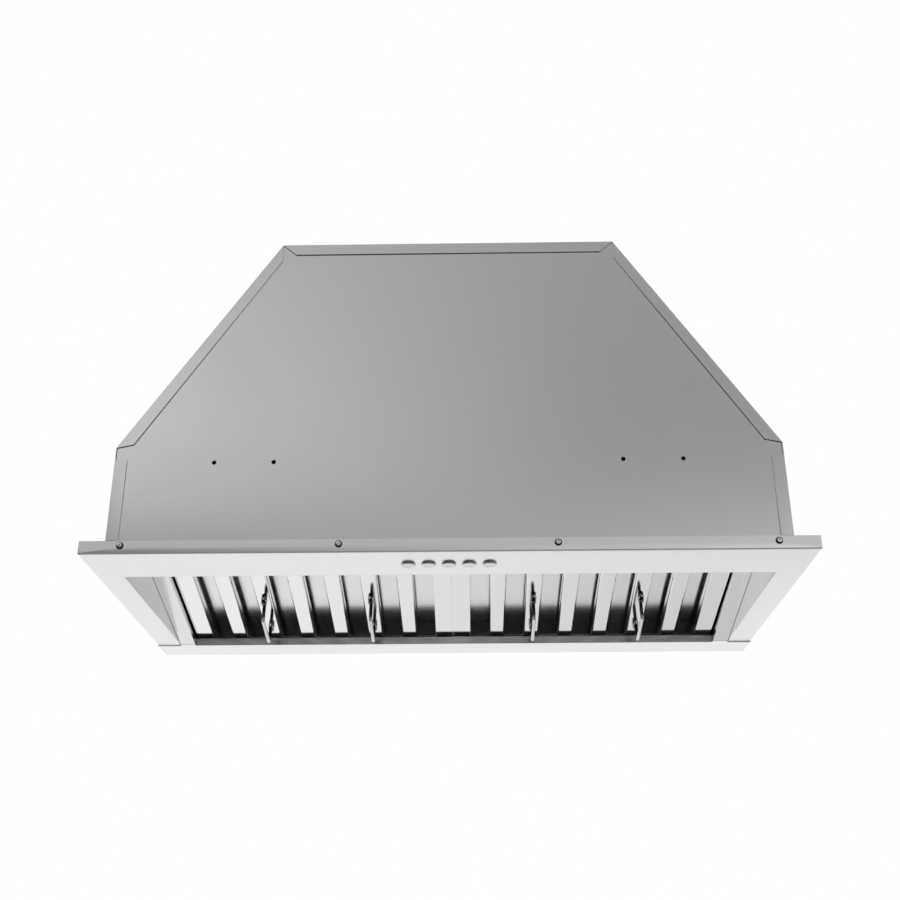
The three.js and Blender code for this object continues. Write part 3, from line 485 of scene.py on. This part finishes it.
def grown(obj, tree, place, **values):
    """The object takes what the tree makes of it as one plain mesh, put in its place."""
    maker = obj.modifiers.new(tree.name, "NODES")
    maker.node_group = tree
    keys = {item.name: item.identifier for item in tree.interface.items_tree if item.in_out == "INPUT"}
    for label, value in values.items():
        maker[keys[label]] = value
    settled(obj).data.transform(place)
    return obj


def repeated(obj, count, finish, place, step=(0, 0, 0), turn=(0, 0, 0)):
    """The object becomes a row or a circle of its copies, each turned by some more degrees."""
    turn = tuple(math.radians(angle) for angle in turn)
    return grown(obj, copy_tree, place, Count=count, Step=step, Turn=turn, Finish=finish)


def rounded_path(corners, radii, steps=8):
    """The corners of a path with an arc at each inner one; a radius of 0 keeps it sharp."""
    points = [corners[0]]
    for before, corner, after, radius in zip(corners, corners[1:], corners[2:], radii):
        back, ahead = (before - corner).normalized(), (after - corner).normalized()
        half = back.angle(ahead) / 2
        if radius <= 0 or half > math.pi / 2 - 0.01:
            points.append(corner)
            continue
        reach = radius / math.tan(half)
        centre = corner + (back + ahead).normalized() * (radius / math.sin(half))
        first = (corner + back * reach - centre).normalized()
        last = (corner + ahead * reach - centre).normalized()
        points += [centre + first.slerp(last, i / steps) * radius for i in range(steps + 1)]
    return points + [corners[-1]]


def strip(corners, thickness, bend, start, end, lift):
    """Mesh data of a sheet strip: a path across it, bent, and run from start to end.

    The corners are those of the outer face, on the right of the path. lift puts a point
    (u, v) of the section and a place along the run into the part's own frame."""
    flat = rounded_path([Vector((u, v, 0)) for u, v in corners], [bend] * (len(corners) - 2), steps=5)
    outer, inner = [(p.x, p.y) for p in flat], []
    for i, point in enumerate(flat):
        before, after = flat[max(i - 1, 0)], flat[min(i + 1, len(flat) - 1)]
        if 0 < i < len(flat) - 1:
            ins, outs = (point - before).normalized(), (after - point).normalized()
            run = (ins + outs).normalized()
            reach = thickness / max(run.dot(ins), 0.3)
        else:
            run, reach = (after - before).normalized(), thickness
        inner.append((point.x - run.y * reach, point.y + run.x * reach))
    count = len(outer)
    verts = [lift(u, v, w) for w in (start, end) for path in (outer, inner) for u, v in path]
    faces = []
    for i in range(count - 1):
        a, b = i, i + 1
        faces += [(a, b, b + 2 * count, a + 2 * count),
                  (b + count, a + count, a + 3 * count, b + 3 * count),
                  (b, a, a + count, b + count),
                  (a + 2 * count, b + 2 * count, b + 3 * count, a + 3 * count)]
    last = count - 1
    faces += [(0, 2 * count, 3 * count, count),
              (last, last + count, last + 3 * count, last + 2 * count)]
    return verts, faces


def sheet_piece(name, strips, edge=0.12 * MM):
    """One object from several strips, with their cut edges just broken."""
    form = bmesh.new()
    for verts, faces in strips:
        made = [form.verts.new(v) for v in verts]
        for face in faces:
            form.faces.new([made[i] for i in face])
    bmesh.ops.recalc_face_normals(form, faces=form.faces)
    sharp = [e for e in form.edges
             if len(e.link_faces) == 2 and abs(e.calc_face_angle(0)) > math.radians(50)]
    bmesh.ops.bevel(form, geom=sharp, offset=edge, segments=1, profile=0.5, affect="EDGES",
                    clamp_overlap=True)
    return creased(name, form)


def along_depth(u, v, w):
    return (u, w, v)


def along_width(u, v, w):
    return (w, u, v)


def channel_row(name, count, half, level, wall, bend, end, middle, finish):
    """A row of channels from its first middle on. The rear ones have half and wall below zero."""
    section = [(-half, level + wall), (-half, level), (half, level), (half, level + wall)]
    channel = sheet_piece(name, [strip(section, filter_sheet, bend, band_far + end, -end, along_depth)])
    return repeated(channel, count, finish, slope_place @ Matrix.Translation((middle, 0, 0)),
                    step=(channel_pitch, 0, 0))


filter_starts = {"left": -filter_parting / 2 - filter_width, "right": filter_parting / 2}
band_far = -filter_length
for side, begin in filter_starts.items():
    stop = begin + filter_width
    first_slot = begin + end_band
    front = channel_row("front_channels_" + side, channel_count, channel_face / 2, filter_face,
                        channel_wall, channel_bend, front_end,
                        first_slot + slot_width + channel_face / 2, bright_steel)
    rear = channel_row("rear_channels_" + side, channel_count + 1, -slot_width / 2 - rear_lap,
                       rear_level, -rear_wall, strip_bend, rear_end, first_slot + slot_width / 2,
                       dull_steel)
    bands = []
    for edge, inward in ((begin, 1), (stop, -1)):
        parting = abs(edge) < filter_parting
        rim_edge = edge - inward * (rim_meets if parting else rim_swell)
        path = [(edge + inward * back_flange, filter_back), (rim_edge, filter_back),
                (rim_edge, filter_face), (edge + inward * end_band, filter_face),
                (edge + inward * end_band, filter_face + channel_wall)]
        bands.append(strip(path[::inward], filter_sheet, parting_bend if parting else strip_bend,
                           band_far + rim_end, -rim_end, along_depth))
    for edge, inward in ((band_far, 1), (0, -1)):
        path = [(edge + inward * back_flange, filter_back), (edge, filter_back),
                (edge, filter_face + filter_sheet)]
        bands.append(strip(path[::inward], filter_sheet, strip_bend, begin + filter_sheet,
                           stop - filter_sheet, along_width))
    for x in (begin + hook_inset, stop - hook_inset):
        path = [(band_far - hook_reach, filter_face), (band_far + hook_root, filter_face)]
        bands.append(strip(path, hook_sheet, 0, x - hook_half, x + hook_half, along_width))
    rim = sheet_piece("filter_rim_" + side, bands)
    rim.data.transform(slope_place)
    fitted(front, "filter_" + side, "bright_steel", "filter_frame_" + side)
    fitted(rear, "filter_" + side, "bright_steel", "rear_baffles_" + side)
    fitted(rim, "filter_" + side, "bright_steel", "filter_frame_" + side, finish=bright_steel)

# ---------------- bail handles
# A plated wire is bent into a square loop, and its two ends turn outwards in sheet clips on
# the second baffle from each end of a filter, so that the loop hangs down under them.
wire = 4 * MM
pivot_level = 5.7 * MM
grip_level = pivot_level - 21.5 * MM
rear_leg = -34 * MM
leg_span = 53 * MM
pin_reach = 9.3 * MM
front_leg = rear_leg - leg_span
bail_radii = (2.2 * MM, 5 * MM, 5 * MM, 2.2 * MM)
clip_half, clip_length, clip_sheet = 2.9 * MM, 5 * MM, 0.6 * MM
clip_start = wire / 2 + 0.3 * MM         # the clips stand just outside the two legs
clip_top, clip_foot = pivot_level - 2.8 * MM, filter_face + 0.1 * MM
clip_foot_end = clip_half + 2.6 * MM


def plated(name, color, roughness):
    """Bright plating with a faint uneven gloss."""
    return grained(name, (160, 160, 160), roughness * 0.7, roughness * 1.4,
                   {"Metallic": 1.0, "Base Color": (*color, 1)})[0]


# The legs of a bail are painted darker than its grip: painted shade and reflection for the dark
# surroundings that the chrome legs mirror.
bail_chrome = plated("bail_chrome", (0.90, 0.90, 0.91), 0.07)
tree = bail_chrome.node_tree
slope_up = slope_place.to_3x3() @ Vector((0, 0, 1))
grip_height = tray_bend.dot(slope_up) + grip_level
height = new_node(tree, "ShaderNodeVectorMath", {0: object_place(tree), 1: slope_up},
                  operation="DOT_PRODUCT")["Value"]
painted_leg_shade = ranged(tree, height, 0.68, 0.14, (grip_height + 1.5 * MM, grip_height + 6 * MM))
feed(tree, "Base Color", painted_leg_shade)


def wire_mesh(name, points):
    curve = bpy.data.curves.new(name, "CURVE")
    curve.dimensions = "3D"
    curve.bevel_depth = wire / 2
    curve.bevel_resolution = 5
    curve.use_fill_caps = True
    run = curve.splines.new("POLY")
    run.points.add(len(points) - 1)
    for spot, point in zip(run.points, points):
        spot.co = (*point, 1)
    shape = add_object(name, curve)
    mesh = plain_mesh(shape)
    bpy.data.objects.remove(shape)
    mesh.name = name
    mesh.shade_smooth()
    mesh.set_sharp_from_angle(angle=math.radians(50))
    return add_object(name, mesh)


def centre_of(node):
    low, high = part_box(node)
    return (low + high) / 2


bail_middles = {bail: centre_of("handle_" + bail).x for bail in ("left_a", "left_b", "right_a", "right_b")}
for side in ("left", "right"):
    saddles = []
    for middle in (bail_middles[side + "_a"], bail_middles[side + "_b"]):
        path = [(middle + across, level) for across, level in (
            (clip_foot_end, clip_foot), (clip_half, clip_foot), (clip_half, clip_top),
            (-clip_half, clip_top), (-clip_half, clip_foot), (-clip_foot_end, clip_foot))]
        for start in (front_leg - clip_start - clip_length, rear_leg + clip_start):
            saddles.append(strip(path, -clip_sheet, 1.0 * MM, start, start + clip_length, along_depth))
    clips = sheet_piece("bail_clips_" + side, saddles, edge=0.1 * MM)
    clips.data.transform(slope_place)
    # the bail clips take the dark steel of painted shade too
    fitted(clips, "filter_" + side, "bright_steel", "filter_frame_" + side, finish=painted_shade_steel)

for bail, middle in bail_middles.items():
    corners = [slope_place @ Vector((middle, y, z)) for y, z in (
        (front_leg - pin_reach, pivot_level), (front_leg, pivot_level), (front_leg, grip_level),
        (rear_leg, grip_level), (rear_leg, pivot_level), (rear_leg + pin_reach, pivot_level))]
    loop = wire_mesh("bail_wire_" + bail, rounded_path(corners, bail_radii))
    fitted(loop, "bail_" + bail, "chrome", "handle_" + bail, finish=bail_chrome)


# ---------------- push buttons
# Five bright turned caps stand a little out of the front border. Each has a straight polished
# side and a shallow dished face, and slides up on its stem against the switch behind it.
def weighted(obj, angle=40):
    """Smooth shading that keeps flat faces flat."""
    obj.data.shade_smooth()
    obj.data.set_sharp_from_angle(angle=math.radians(angle))
    evened = obj.modifiers.new("evened", "WEIGHTED_NORMAL")
    evened.keep_sharp = True
    return settled(obj)


def turned(name, points, place=Matrix.Identity(4), steps=48):
    """A form turned about Z from (radius, height) points in millimetres.

    Points from the axis to the axis make a solid, and a closed loop of them makes a ring."""
    is_ring = points[0] == points[-1]
    form = bmesh.new()
    rings = []
    for radius, height in points[:-1] if is_ring else points:
        spots = steps if radius else 1
        rings.append([form.verts.new((radius * MM * math.cos(a), radius * MM * math.sin(a), height * MM))
                      for a in (2 * math.pi * i / steps for i in range(spots))])
    for lower, upper in zip(rings, rings[1:] + rings[:1] if is_ring else rings[1:]):
        for i in range(steps):
            j = (i + 1) % steps
            if len(lower) == 1:
                form.faces.new((lower[0], upper[i], upper[j]))
            elif len(upper) == 1:
                form.faces.new((lower[i], upper[0], lower[j]))
            else:
                form.faces.new((lower[i], upper[i], upper[j], lower[j]))
    bmesh.ops.recalc_face_normals(form, faces=form.faces)
    form.transform(place)
    return weighted(form_object(name, form), angle=50 if is_ring else 35)


def upright_in(node, lift=0, end=0):
    """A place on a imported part's upright middle line, over its foot (end 0) or its top (1)."""
    return Matrix.Translation((*centre_of(node).xy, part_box(node)[end].z + lift))


button_profile = (
    (0, -1.98), (2.5, -2.0), (4.6, -2.08), (5.6, -2.17), (6.2, -2.2), (6.55, -2.16), (6.8, -2.02),
    (6.95, -1.8), (7, -1.5), (7, 1.1), (6.8, 1.3), (4, 1.3), (4, 13.8), (3.8, 14), (0, 14))
button_steel = plated("button_steel", (0.74, 0.74, 0.75), 0.40)
for button in ("power", "low", "medium", "high", "lamp"):
    cap = turned("cap_" + button, button_profile, upright_in("button_" + button, 2.2 * MM))
    fitted(cap, "push_" + button, "chrome", "button_" + button, finish=button_steel)

# ---------------- lip screws
# Four plated pan-head screws fix the front lip to the front panel. Each has a cross recess with
# sloping sides, and the edge of its head is painted dark: painted shade for the shadow and dark reflection
# round the head.
screw_profile = (
    (0, -2.23), (1.3, -2.23), (2.0, -2.2), (2.6, -2.05), (3.1, -1.65), (3.45, -1.1), (3.62, -0.6),
    (3.7, -0.1), (3.7, 0.25), (1.9, 0.3), (1.9, 7), (0.4, 8), (0, 8))
head_face = 2.3 * MM                     # the painted shade round the edge of the head starts at this radius
rim_front = -190.5 * MM
cross_long, cross_short, cross_narrowing = 1.9, 0.35, 0.55
cross_mouth, cross_floor = -3 * MM, -1.0 * MM
screw_steel = plated("screw_steel", (0.74, 0.74, 0.75), 0.10)
tree = screw_steel.node_tree
painted_head_shade = new_node(tree, "ShaderNodeAttribute", {}, attribute_name="painted_head_shade")["Fac"]
feed(tree, "Base Color", ranged(tree, painted_head_shade, 0.74, 0.03))


def carved(obj, cutter, use_self=False):
    """The object loses what the cutter's form fills."""
    tool = form_object("cutter", cutter)
    carve = obj.modifiers.new("carve", "BOOLEAN")
    carve.operation, carve.solver, carve.object = "DIFFERENCE", "EXACT", tool
    carve.use_self = use_self
    settled(obj)
    bpy.data.objects.remove(tool)


screw = turned("lip_screws", screw_profile, steps=32)
for half_x, half_y in ((cross_long, cross_short), (cross_short, cross_long)):
    form = bmesh.new()
    bmesh.ops.create_cube(form, size=2 * MM)
    for v in form.verts:
        deep = v.co.z > 0
        narrow = cross_narrowing if deep else 1.0
        v.co = Vector((v.co.x * half_x * narrow, v.co.y * half_y * narrow,
                       cross_floor if deep else cross_mouth))
    bmesh.ops.recalc_face_normals(form, faces=form.faces)
    carved(screw, form)
# painted shade: the outer edge of the head is marked for the dark colour
outside = screw.data.attributes.new("painted_head_shade", "FLOAT", "POINT")
outside.data.foreach_set("value", [float(v.co.xy.length > head_face) for v in screw.data.vertices])
screw.data.transform(spun(-90, "X"))
first_screw, last_screw = centre_of("lip_screw_1"), centre_of("lip_screw_4")
repeated(screw, 4, screw_steel, Matrix.Translation((first_screw.x, rim_front, first_screw.z)),
         step=((last_screw.x - first_screw.x) / 3, 0, 0), turn=(0, 31, 0))
fitted(screw, "hood", "chrome", "lip_screw_1", "lip_screw_2", "lip_screw_3", "lip_screw_4")

# ---------------- duct collar and damper
# A spun collar of zinc-coated sheet stands on the top, with a bead that stops the duct and a
# rolled-in end. Eight rivets hold its flange. Two half-round flaps turn on one pin inside.
zinc_steel = steel("zinc_steel", (0.60, 0.615, 0.63), 0.38, (60, 60, 60), spread=0.08, tone=0.12)
collar_sheet = 1
bead = ((75, 13), (75.4, 13.8), (75.9, 14.6), (76.1, 15.5), (75.9, 16.4), (75.4, 17.2), (75, 18))
collar_profile = (
    (74, 0), (88, 0), (88, 1), (77, 1), (75.6, 1.4), (75, 2.6), *bead, (75, 46.5), (74.6, 48.4),
    (74.3, 49.7), (74.0, 50), (73.6, 49.6), (73.9, 46),
    *((r - collar_sheet, z) for r, z in reversed(bead)), (74, 0))
collar_place = upright_in("duct_collar")
collar = turned("collar_ring", collar_profile, collar_place, 96)
fitted(collar, "hood", "zinc_steel", "duct_collar", finish=zinc_steel)

rivet_profile = (
    (0, -1.0), (1.6, -1.0), (1.6, 1.0), (3.2, 1.0), (3.1, 1.5), (2.4, 2.0), (1.2, 2.3), (0.6, 2.1),
    (0, 2.0))
rivet_circle = 82 * MM
rivets = turned("collar_rivets", rivet_profile, Matrix.Translation((rivet_circle, 0, 0)), 20)
repeated(rivets, 8, zinc_steel, collar_place @ spun(22.5), turn=(0, 0, 45))
fitted(rivets, "hood", "zinc_steel")

for node, body in (("damper_flap_front", "flap_front"), ("damper_flap_rear", "flap_rear"),
                   ("damper_pin", "hood")):
    packed_part(node, node.replace("damper", "duct"), body, "zinc_steel", zinc_steel, bend=0, curved=True)


# ---------------- cable gland
# A moulded black gland guides the mains lead out of the top. Its clamping nut has sixteen
# ribs round it.
def moulded(name, color, roughness, height=0.03 * MM):
    """Moulded plastic: a spark-eroded texture, slightly uneven in gloss."""
    made, tree, marks = grained(name, (1800, 1800, 1800), roughness - 0.08, roughness + 0.08,
                                {"Base Color": (*color, 1)})
    bumped(tree, marks["Height"], height, 0.5)
    return made


def block(name, size, middle, edge):
    """A block with rounded edges, in millimetres."""
    form = bmesh.new()
    bmesh.ops.create_cube(form, size=1)
    form.transform(Matrix.Translation(Vector(middle) * MM) @ Matrix.Diagonal((*Vector(size) * MM, 1)))
    bmesh.ops.bevel(form, geom=form.edges[:], offset=edge * MM, segments=2, profile=0.5, affect="EDGES")
    return form_object(name, form)


black_plastic = moulded("black_plastic", (0.018, 0.018, 0.020), 0.45)
gland_place = upright_in("cable_gland", -5 * MM, end=1)
gland_profile = (
    (4, -9), (7.4, -9), (7.4, 0.3), (10.6, 0.3), (10.6, 2.2), (9.6, 3.6), (8.2, 4.7), (7.4, 5),
    (5.0, 5), (4.3, 4.4), (4, 3.4), (4, -9))
gland = turned("gland_body", gland_profile, gland_place)
fitted(gland, "hood", "black_plastic", "cable_gland", finish=black_plastic)
grip_count = 16
grips = block("gland_grips", (1, 1.4, 2.4), (10.5, 0, 1.6), 0.3)
repeated(grips, grip_count, black_plastic, gland_place, turn=(0, 0, 360 / grip_count))
fitted(grips, "hood", "black_plastic")

# ---------------- blower housing
# The scroll is a wrapped band of zinc-coated sheet between two side plates, with a flat plate
# at its outlet under the duct. A three-legged bracket on the left side carries the motor.
for node, name in (("blower_scroll", "scroll_band"), ("blower_side_left", "scroll_side_left"),
                   ("blower_side_right", "scroll_side_right"), ("motor_bracket", "motor_spider")):
    packed_part(node, name, "hood", "zinc_steel", zinc_steel, bend=0, curved=True)

# ---------------- wheel
# A double-inlet squirrel-cage wheel: curved blades crimped into a middle disc and two end
# rings, on a steel shaft. The blades cup forward, the way the wheel turns.
axis = centre_of("impeller")
wheel_radius, blade_depth, wheel_half = 65, 9.5, 58        # in millimetres
hoop_inner, hoop_wide = 56.0, 2
blade_count, blade_sheet = 42, 0.5 * MM
blade_tip, blade_root = (wheel_radius - 0.7) * MM, (wheel_radius - blade_depth) * MM
blade_end = (wheel_half - 0.5) * MM


def on_axle(x):
    """The place of a turned part whose foot is at x on the wheel's axle. Its +Z runs along it."""
    return Matrix.Translation((x, axis.y, axis.z)) @ spun(90, "Y")


def along_axle(u, v, w):
    return (u, v, w)


axis_place = on_axle(axis.x)
blade = sheet_piece("wheel_blades", [strip(
    [(blade_root, 0), (blade_root + 4.5 * MM, 1.2 * MM), (blade_tip, 5 * MM)],
    blade_sheet, 9 * MM, -blade_end, blade_end, along_axle)], edge=0.05 * MM)
repeated(blade, blade_count, zinc_steel, axis_place, turn=(0, 0, 360 / blade_count))
fitted(blade, "fan", "zinc_steel", "impeller")
disc_profile = (
    (4.3, -9), (11, -9), (11, -2), (14, -1), (30, -1), (33, -2.2), (50, -2.2), (53, -1), (65, -1),
    (65, 1), (53, 1), (50, -0.2), (33, -0.2), (30, 1), (14, 1), (11, 2), (11, 9), (4.3, 9), (4.3, -9))
wheel_disc = turned("wheel_disc", disc_profile, axis_place, 96)
fitted(wheel_disc, "fan", "zinc_steel", finish=zinc_steel)
for side, end in (("left", -wheel_half), ("right", wheel_half - hoop_wide)):
    hoop = turned("wheel_hoop_" + side, (
        (hoop_inner, end), (wheel_radius, end), (wheel_radius, end + hoop_wide),
        (hoop_inner, end + hoop_wide), (hoop_inner, end)), axis_place, 96)
    fitted(hoop, "fan", "zinc_steel", finish=zinc_steel)
low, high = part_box("motor_shaft")
shaft_radius, shaft_length, shaft_edge = 4, (high.x - low.x) / MM, 0.4
shaft = turned("axle", (
    (0, 0), (shaft_radius - shaft_edge, 0), (shaft_radius, shaft_edge),
    (shaft_radius, shaft_length - shaft_edge), (shaft_radius - shaft_edge, shaft_length),
    (0, shaft_length)), on_axle(low.x), 24)
chrome = plated("chrome", (0.90, 0.90, 0.91), 0.07)
fitted(shaft, "fan", "zinc_steel", "motor_shaft", finish=chrome)

# ---------------- motor
# A capacitor motor in two pressed cups that meet at a lamination stack, painted grey. It
# stands inside the left half of the wheel.
motor_grey = moulded("motor_grey", (0.16, 0.17, 0.18), 0.38)
motor_profile = (
    (0, 0), (16, 0), (18, 1.2), (34, 1.6), (39, 3.2), (40.6, 6), (40.6, 13), (42, 13.4), (42, 29.6),
    (40.6, 30), (40.6, 37), (39, 40.2), (34, 42), (16, 42.6), (15, 43.4), (15, 46), (0, 46))
motor = turned("motor_cups", motor_profile, on_axle(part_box("blower_motor")[0].x), 64)
fitted(motor, "hood", "motor_grey", "blower_motor", finish=motor_grey)

# ---------------- inlet guards
# A moulded guard over each inlet: two hoops and a hub joined by six spokes, with a boss whose
# three lugs lock a carbon filter.
side_places = {"right": axis_place, "left": axis_place @ spun(180, "X")}
boss_profile = (
    (0, 69.4), (16.5, 69.4), (17, 69.9), (17, 71.9), (16.5, 72.4), (6.2, 72.4), (5.7, 73),
    (5.7, 77.5), (5.2, 78), (0, 78))


def hoop_loop(inner, outer, low, high):
    """The section of a flat hoop with its corners taken off."""
    edge = 0.5
    return ((inner, low + edge), (inner + edge, low), (outer - edge, low), (outer, low + edge),
            (outer, high - edge), (outer - edge, high), (inner + edge, high), (inner, high - edge),
            (inner, low + edge))


for side, place in side_places.items():
    for part in (turned("guard_rim_" + side, hoop_loop(71, 75, 67.7, 72.4), place, 96),
                 turned("guard_hoop_" + side, hoop_loop(42, 45, 69.4, 72.4), place, 72),
                 turned("guard_boss_" + side, boss_profile, place, 32)):
        fitted(part, "hood", "black_plastic", "inlet_guard_" + side, finish=black_plastic)
    spokes = weighted(block("guard_spokes_" + side, (58, 3, 3), (44, 0, 70.9), 0.4))
    repeated(spokes, 6, black_plastic, place, turn=(0, 0, 60))
    lugs = weighted(block("guard_lugs_" + side, (7, 4.4, 2), (7.4, 0, 77), 0.3))
    repeated(lugs, 3, black_plastic, place @ spun(90), turn=(0, 0, 120))
    fitted(spokes, "hood", "black_plastic")
    fitted(lugs, "hood", "black_plastic")

# ---------------- carbon filters
# Each is a round black cassette of active carbon: fine rings over the bed, twelve radial ribs,
# and a sunk hub with three bayonet slots that turns on to the lugs of the guard.
ring_count, ring_first, ring_step = 20, 24.5 * MM, 3.7 * MM
ring_wide, ring_high = 1.3 * MM, 1.6 * MM
bayonet_turn = 42                        # from the locked place to where the lugs pass
slot_turns = [third + lean for third in (0, 120, 240) for lean in (-13, 0, 13)]
slot_size = (12 * MM, 6 * MM, 9 * MM)
carbon_back, carbon_depth = 72.7 * MM, 26 * MM       # the back is counted from the wheel's middle
bed_loop = ((22.1, 22.1), (97.9, 22.1), (97.9, 23.1), (22.1, 23.1), (22.1, 22.1))
casing_loop = (
    (6.3, 0), (100.5, 0), (102.4, 0.6), (103, 2.2), (103, 24.4), (102.5, 25.5), (101.5, 26),
    (98.6, 26), (98, 25.4), (98, 22), (22, 22), (22, 25.5), (21.5, 26), (18.5, 26), (18, 25.5),
    (17, 4), (16, 3), (6.3, 3), (6.3, 0))


def ring_grille():
    """Geometry nodes for concentric rings of a square section, one step apart."""
    tree, taken, given = node_group("ring_grille", "GeometryNodeTree", {
        "Geometry": "Geometry", "Count": "Int", "First": "Float", "Step": "Float", "Wide": "Float",
        "High": "Float", "Finish": "Material"}, {"Geometry": "Geometry"})
    row = new_node(tree, "GeometryNodeMeshLine", {"Count": taken["Count"], "Offset": (0, 0, 0)})
    index = new_node(tree, "GeometryNodeInputIndex", {})
    radius = calculated(tree, "MULTIPLY_ADD", index[0], taken["Step"], taken["First"])
    circle = new_node(tree, "GeometryNodeCurvePrimitiveCircle", {"Resolution": 96, "Radius": 1.0})
    placed = new_node(tree, "GeometryNodeInstanceOnPoints", {
        "Points": row["Mesh"], "Instance": circle[0], "Scale": radius})
    loops = new_node(tree, "GeometryNodeRealizeInstances", {0: placed[0]})
    even = new_node(tree, "GeometryNodeSetCurveRadius", {"Curve": loops[0], "Radius": 1.0})
    section = new_node(tree, "GeometryNodeCurvePrimitiveQuadrilateral", {
        "Width": taken["Wide"], "Height": taken["High"]})
    swept = new_node(tree, "GeometryNodeCurveToMesh", {"Curve": even[0], "Profile Curve": section[0]})
    real_and_painted(tree, swept[0], taken["Finish"], given[0])
    return tree


# Pressed carbon grains: a coarse black lumpy surface with a dull glint.
bed_finish, tree = material("carbon_bed", {"Roughness": 0.6})
grains = new_node(tree, "ShaderNodeTexVoronoi", {"Vector": object_place(tree), "Scale": 700})
feed(tree, "Base Color", ranged(tree, grains["Distance"], 0.006, 0.03))
bumped(tree, grains["Distance"], 0.6 * MM)

ring_tree = ring_grille()
for side, guard_place in side_places.items():
    place = guard_place @ Matrix.Translation((0, 0, carbon_back))
    casing = turned("cassette_" + side, casing_loop, place, 96)
    slots = bmesh.new()
    for turn in slot_turns:
        made = bmesh.ops.create_cube(slots, size=1)
        bmesh.ops.transform(slots, verts=made["verts"], matrix=place @ spun(turn + bayonet_turn)
                            @ Matrix.Translation((slot_size[0] / 2, 0, 0))
                            @ Matrix.Diagonal((*slot_size, 1)))
    carved(casing, slots, use_self=True)
    bed = turned("cassette_bed_" + side, bed_loop, place, 96)
    name = "cassette_rings_" + side
    ring_level = carbon_depth - ring_high / 2 - 0.5 * MM
    rings = grown(add_object(name, bpy.data.meshes.new(name)), ring_tree,
                  place @ Matrix.Translation((0, 0, ring_level)), Count=ring_count, First=ring_first,
                  Step=ring_step, Wide=ring_wide, High=ring_high, Finish=black_plastic)
    ribs = weighted(block("cassette_ribs_" + side, (77.5, 1.8, 2.8), (60, 0, 24.5), 0.35))
    repeated(ribs, 12, black_plastic, place @ spun(15), turn=(0, 0, 30))
    for part, finish in ((casing, black_plastic), (bed, bed_finish), (rings, None), (ribs, None)):
        fitted(part, "carbon_" + side, "black_plastic", "carbon_filter_" + side, finish=finish)

# ---------------- switches and their board
# Five switches share one moulded block over the front border. A board lies on it, with a green
# solder mask over its copper tracks: a fine pattern of squares in tone and height.
packed_part("switch_block", "switch_housing", "hood", "black_plastic", black_plastic,
            bend=0, edge=0.25 * MM)

board_green, tree = material("board_green", {"Roughness": 0.28})
tracks = new_node(tree, "ShaderNodeTexBrick", {
    "Vector": object_place(tree), "Scale": 90, "Mortar Size": 0.06, "Color1": (0.010, 0.085, 0.035, 1),
    "Color2": (0.012, 0.100, 0.042, 1), "Mortar": (0.030, 0.190, 0.085, 1)})
feed(tree, "Base Color", tracks["Color"])
bumped(tree, tracks["Fac"], 0.05 * MM)
packed_part("switch_board", "key_board", "hood", "board_green", board_green, bend=0, edge=0.2 * MM)

# ---------------- control box
# A folded zinc-coated box on the back panel holds the power board and the motor's capacitor,
# and a flat lid closes it.
packed_part("control_board", "power_board", "hood", "board_green", board_green, bend=0, edge=0.2 * MM)
for node, name in (("control_box", "power_box"), ("control_box_lid", "power_box_lid")):
    packed_part(node, name, "hood", "zinc_steel", zinc_steel, bend=0.8 * MM)
white_plastic = moulded("white_plastic", (0.78, 0.78, 0.74), 0.42)
low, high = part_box("run_capacitor")
can_radius, can_high = (high.x - low.x) / 2 / MM, (high.z - low.z) / MM
can = turned("capacitor_can", (
    (0, 0.8), (can_radius - 3, 0.8), (can_radius - 2, 0), (can_radius - 0.8, 0), (can_radius, 0.9),
    (can_radius, can_high - 4), (can_radius - 0.7, can_high - 3), (can_radius, can_high - 2),
    (can_radius - 0.5, can_high - 0.3), (can_radius - 1.5, can_high), (can_radius - 2.5, can_high - 1),
    (0, can_high - 1)), upright_in("run_capacitor"))
fitted(can, "hood", "white_plastic", "run_capacitor", finish=white_plastic)

# ---------------- lamps
# Two small round lamps sit in the tray ahead of the filters: a turned bezel with a can behind
# it, and an opal lens with fine rings.
opal = moulded("opal_lens", (0.90, 0.90, 0.86), 0.25, height=0.01 * MM)
bezel_profile = (
    (0, 12), (15.6, 12), (16.6, 11), (16.6, -0.3), (19.9, -0.3), (20, -0.7), (19.5, -1.35),
    (18.4, -1.7), (16.5, -1.8), (15, -1.7), (14.4, -1.3), (14.3, -0.8), (14.3, 1.2), (0, 1.2))
lens_profile = [(0, -1.32)] + [(ring, -1.36 if ring % 2 else -1.24) for ring in range(1, 13)] + [
    (13.4, -1.2), (14, -0.7), (14, 0.9), (0, 0.9)]
for side in ("left", "right"):
    spot = slope_place.inverted() @ centre_of("lamp_lens_" + side)
    place = slope_place @ Matrix.Translation((spot.x, spot.y, 0))
    bezel = turned("lamp_bezel_" + side, bezel_profile, place, 72)
    fitted(bezel, "hood", "satin_steel", "lamp_body_" + side, finish=satin_steel)
    opal_lens = turned("lamp_opal_" + side, lens_profile, place, 64)
    fitted(opal_lens, "hood", "lamp_lens", "lamp_lens_" + side, finish=opal)

# ---------------- catch springs
# A leaf of bright spring steel stands behind each filter. It presses the filter forward and
# holds its rear edge up.
for side in ("left", "right"):
    packed_part("catch_spring_" + side, "leaf_" + side, "hood", "zinc_steel", bright_steel,
                bend=0, edge=0.08 * MM)
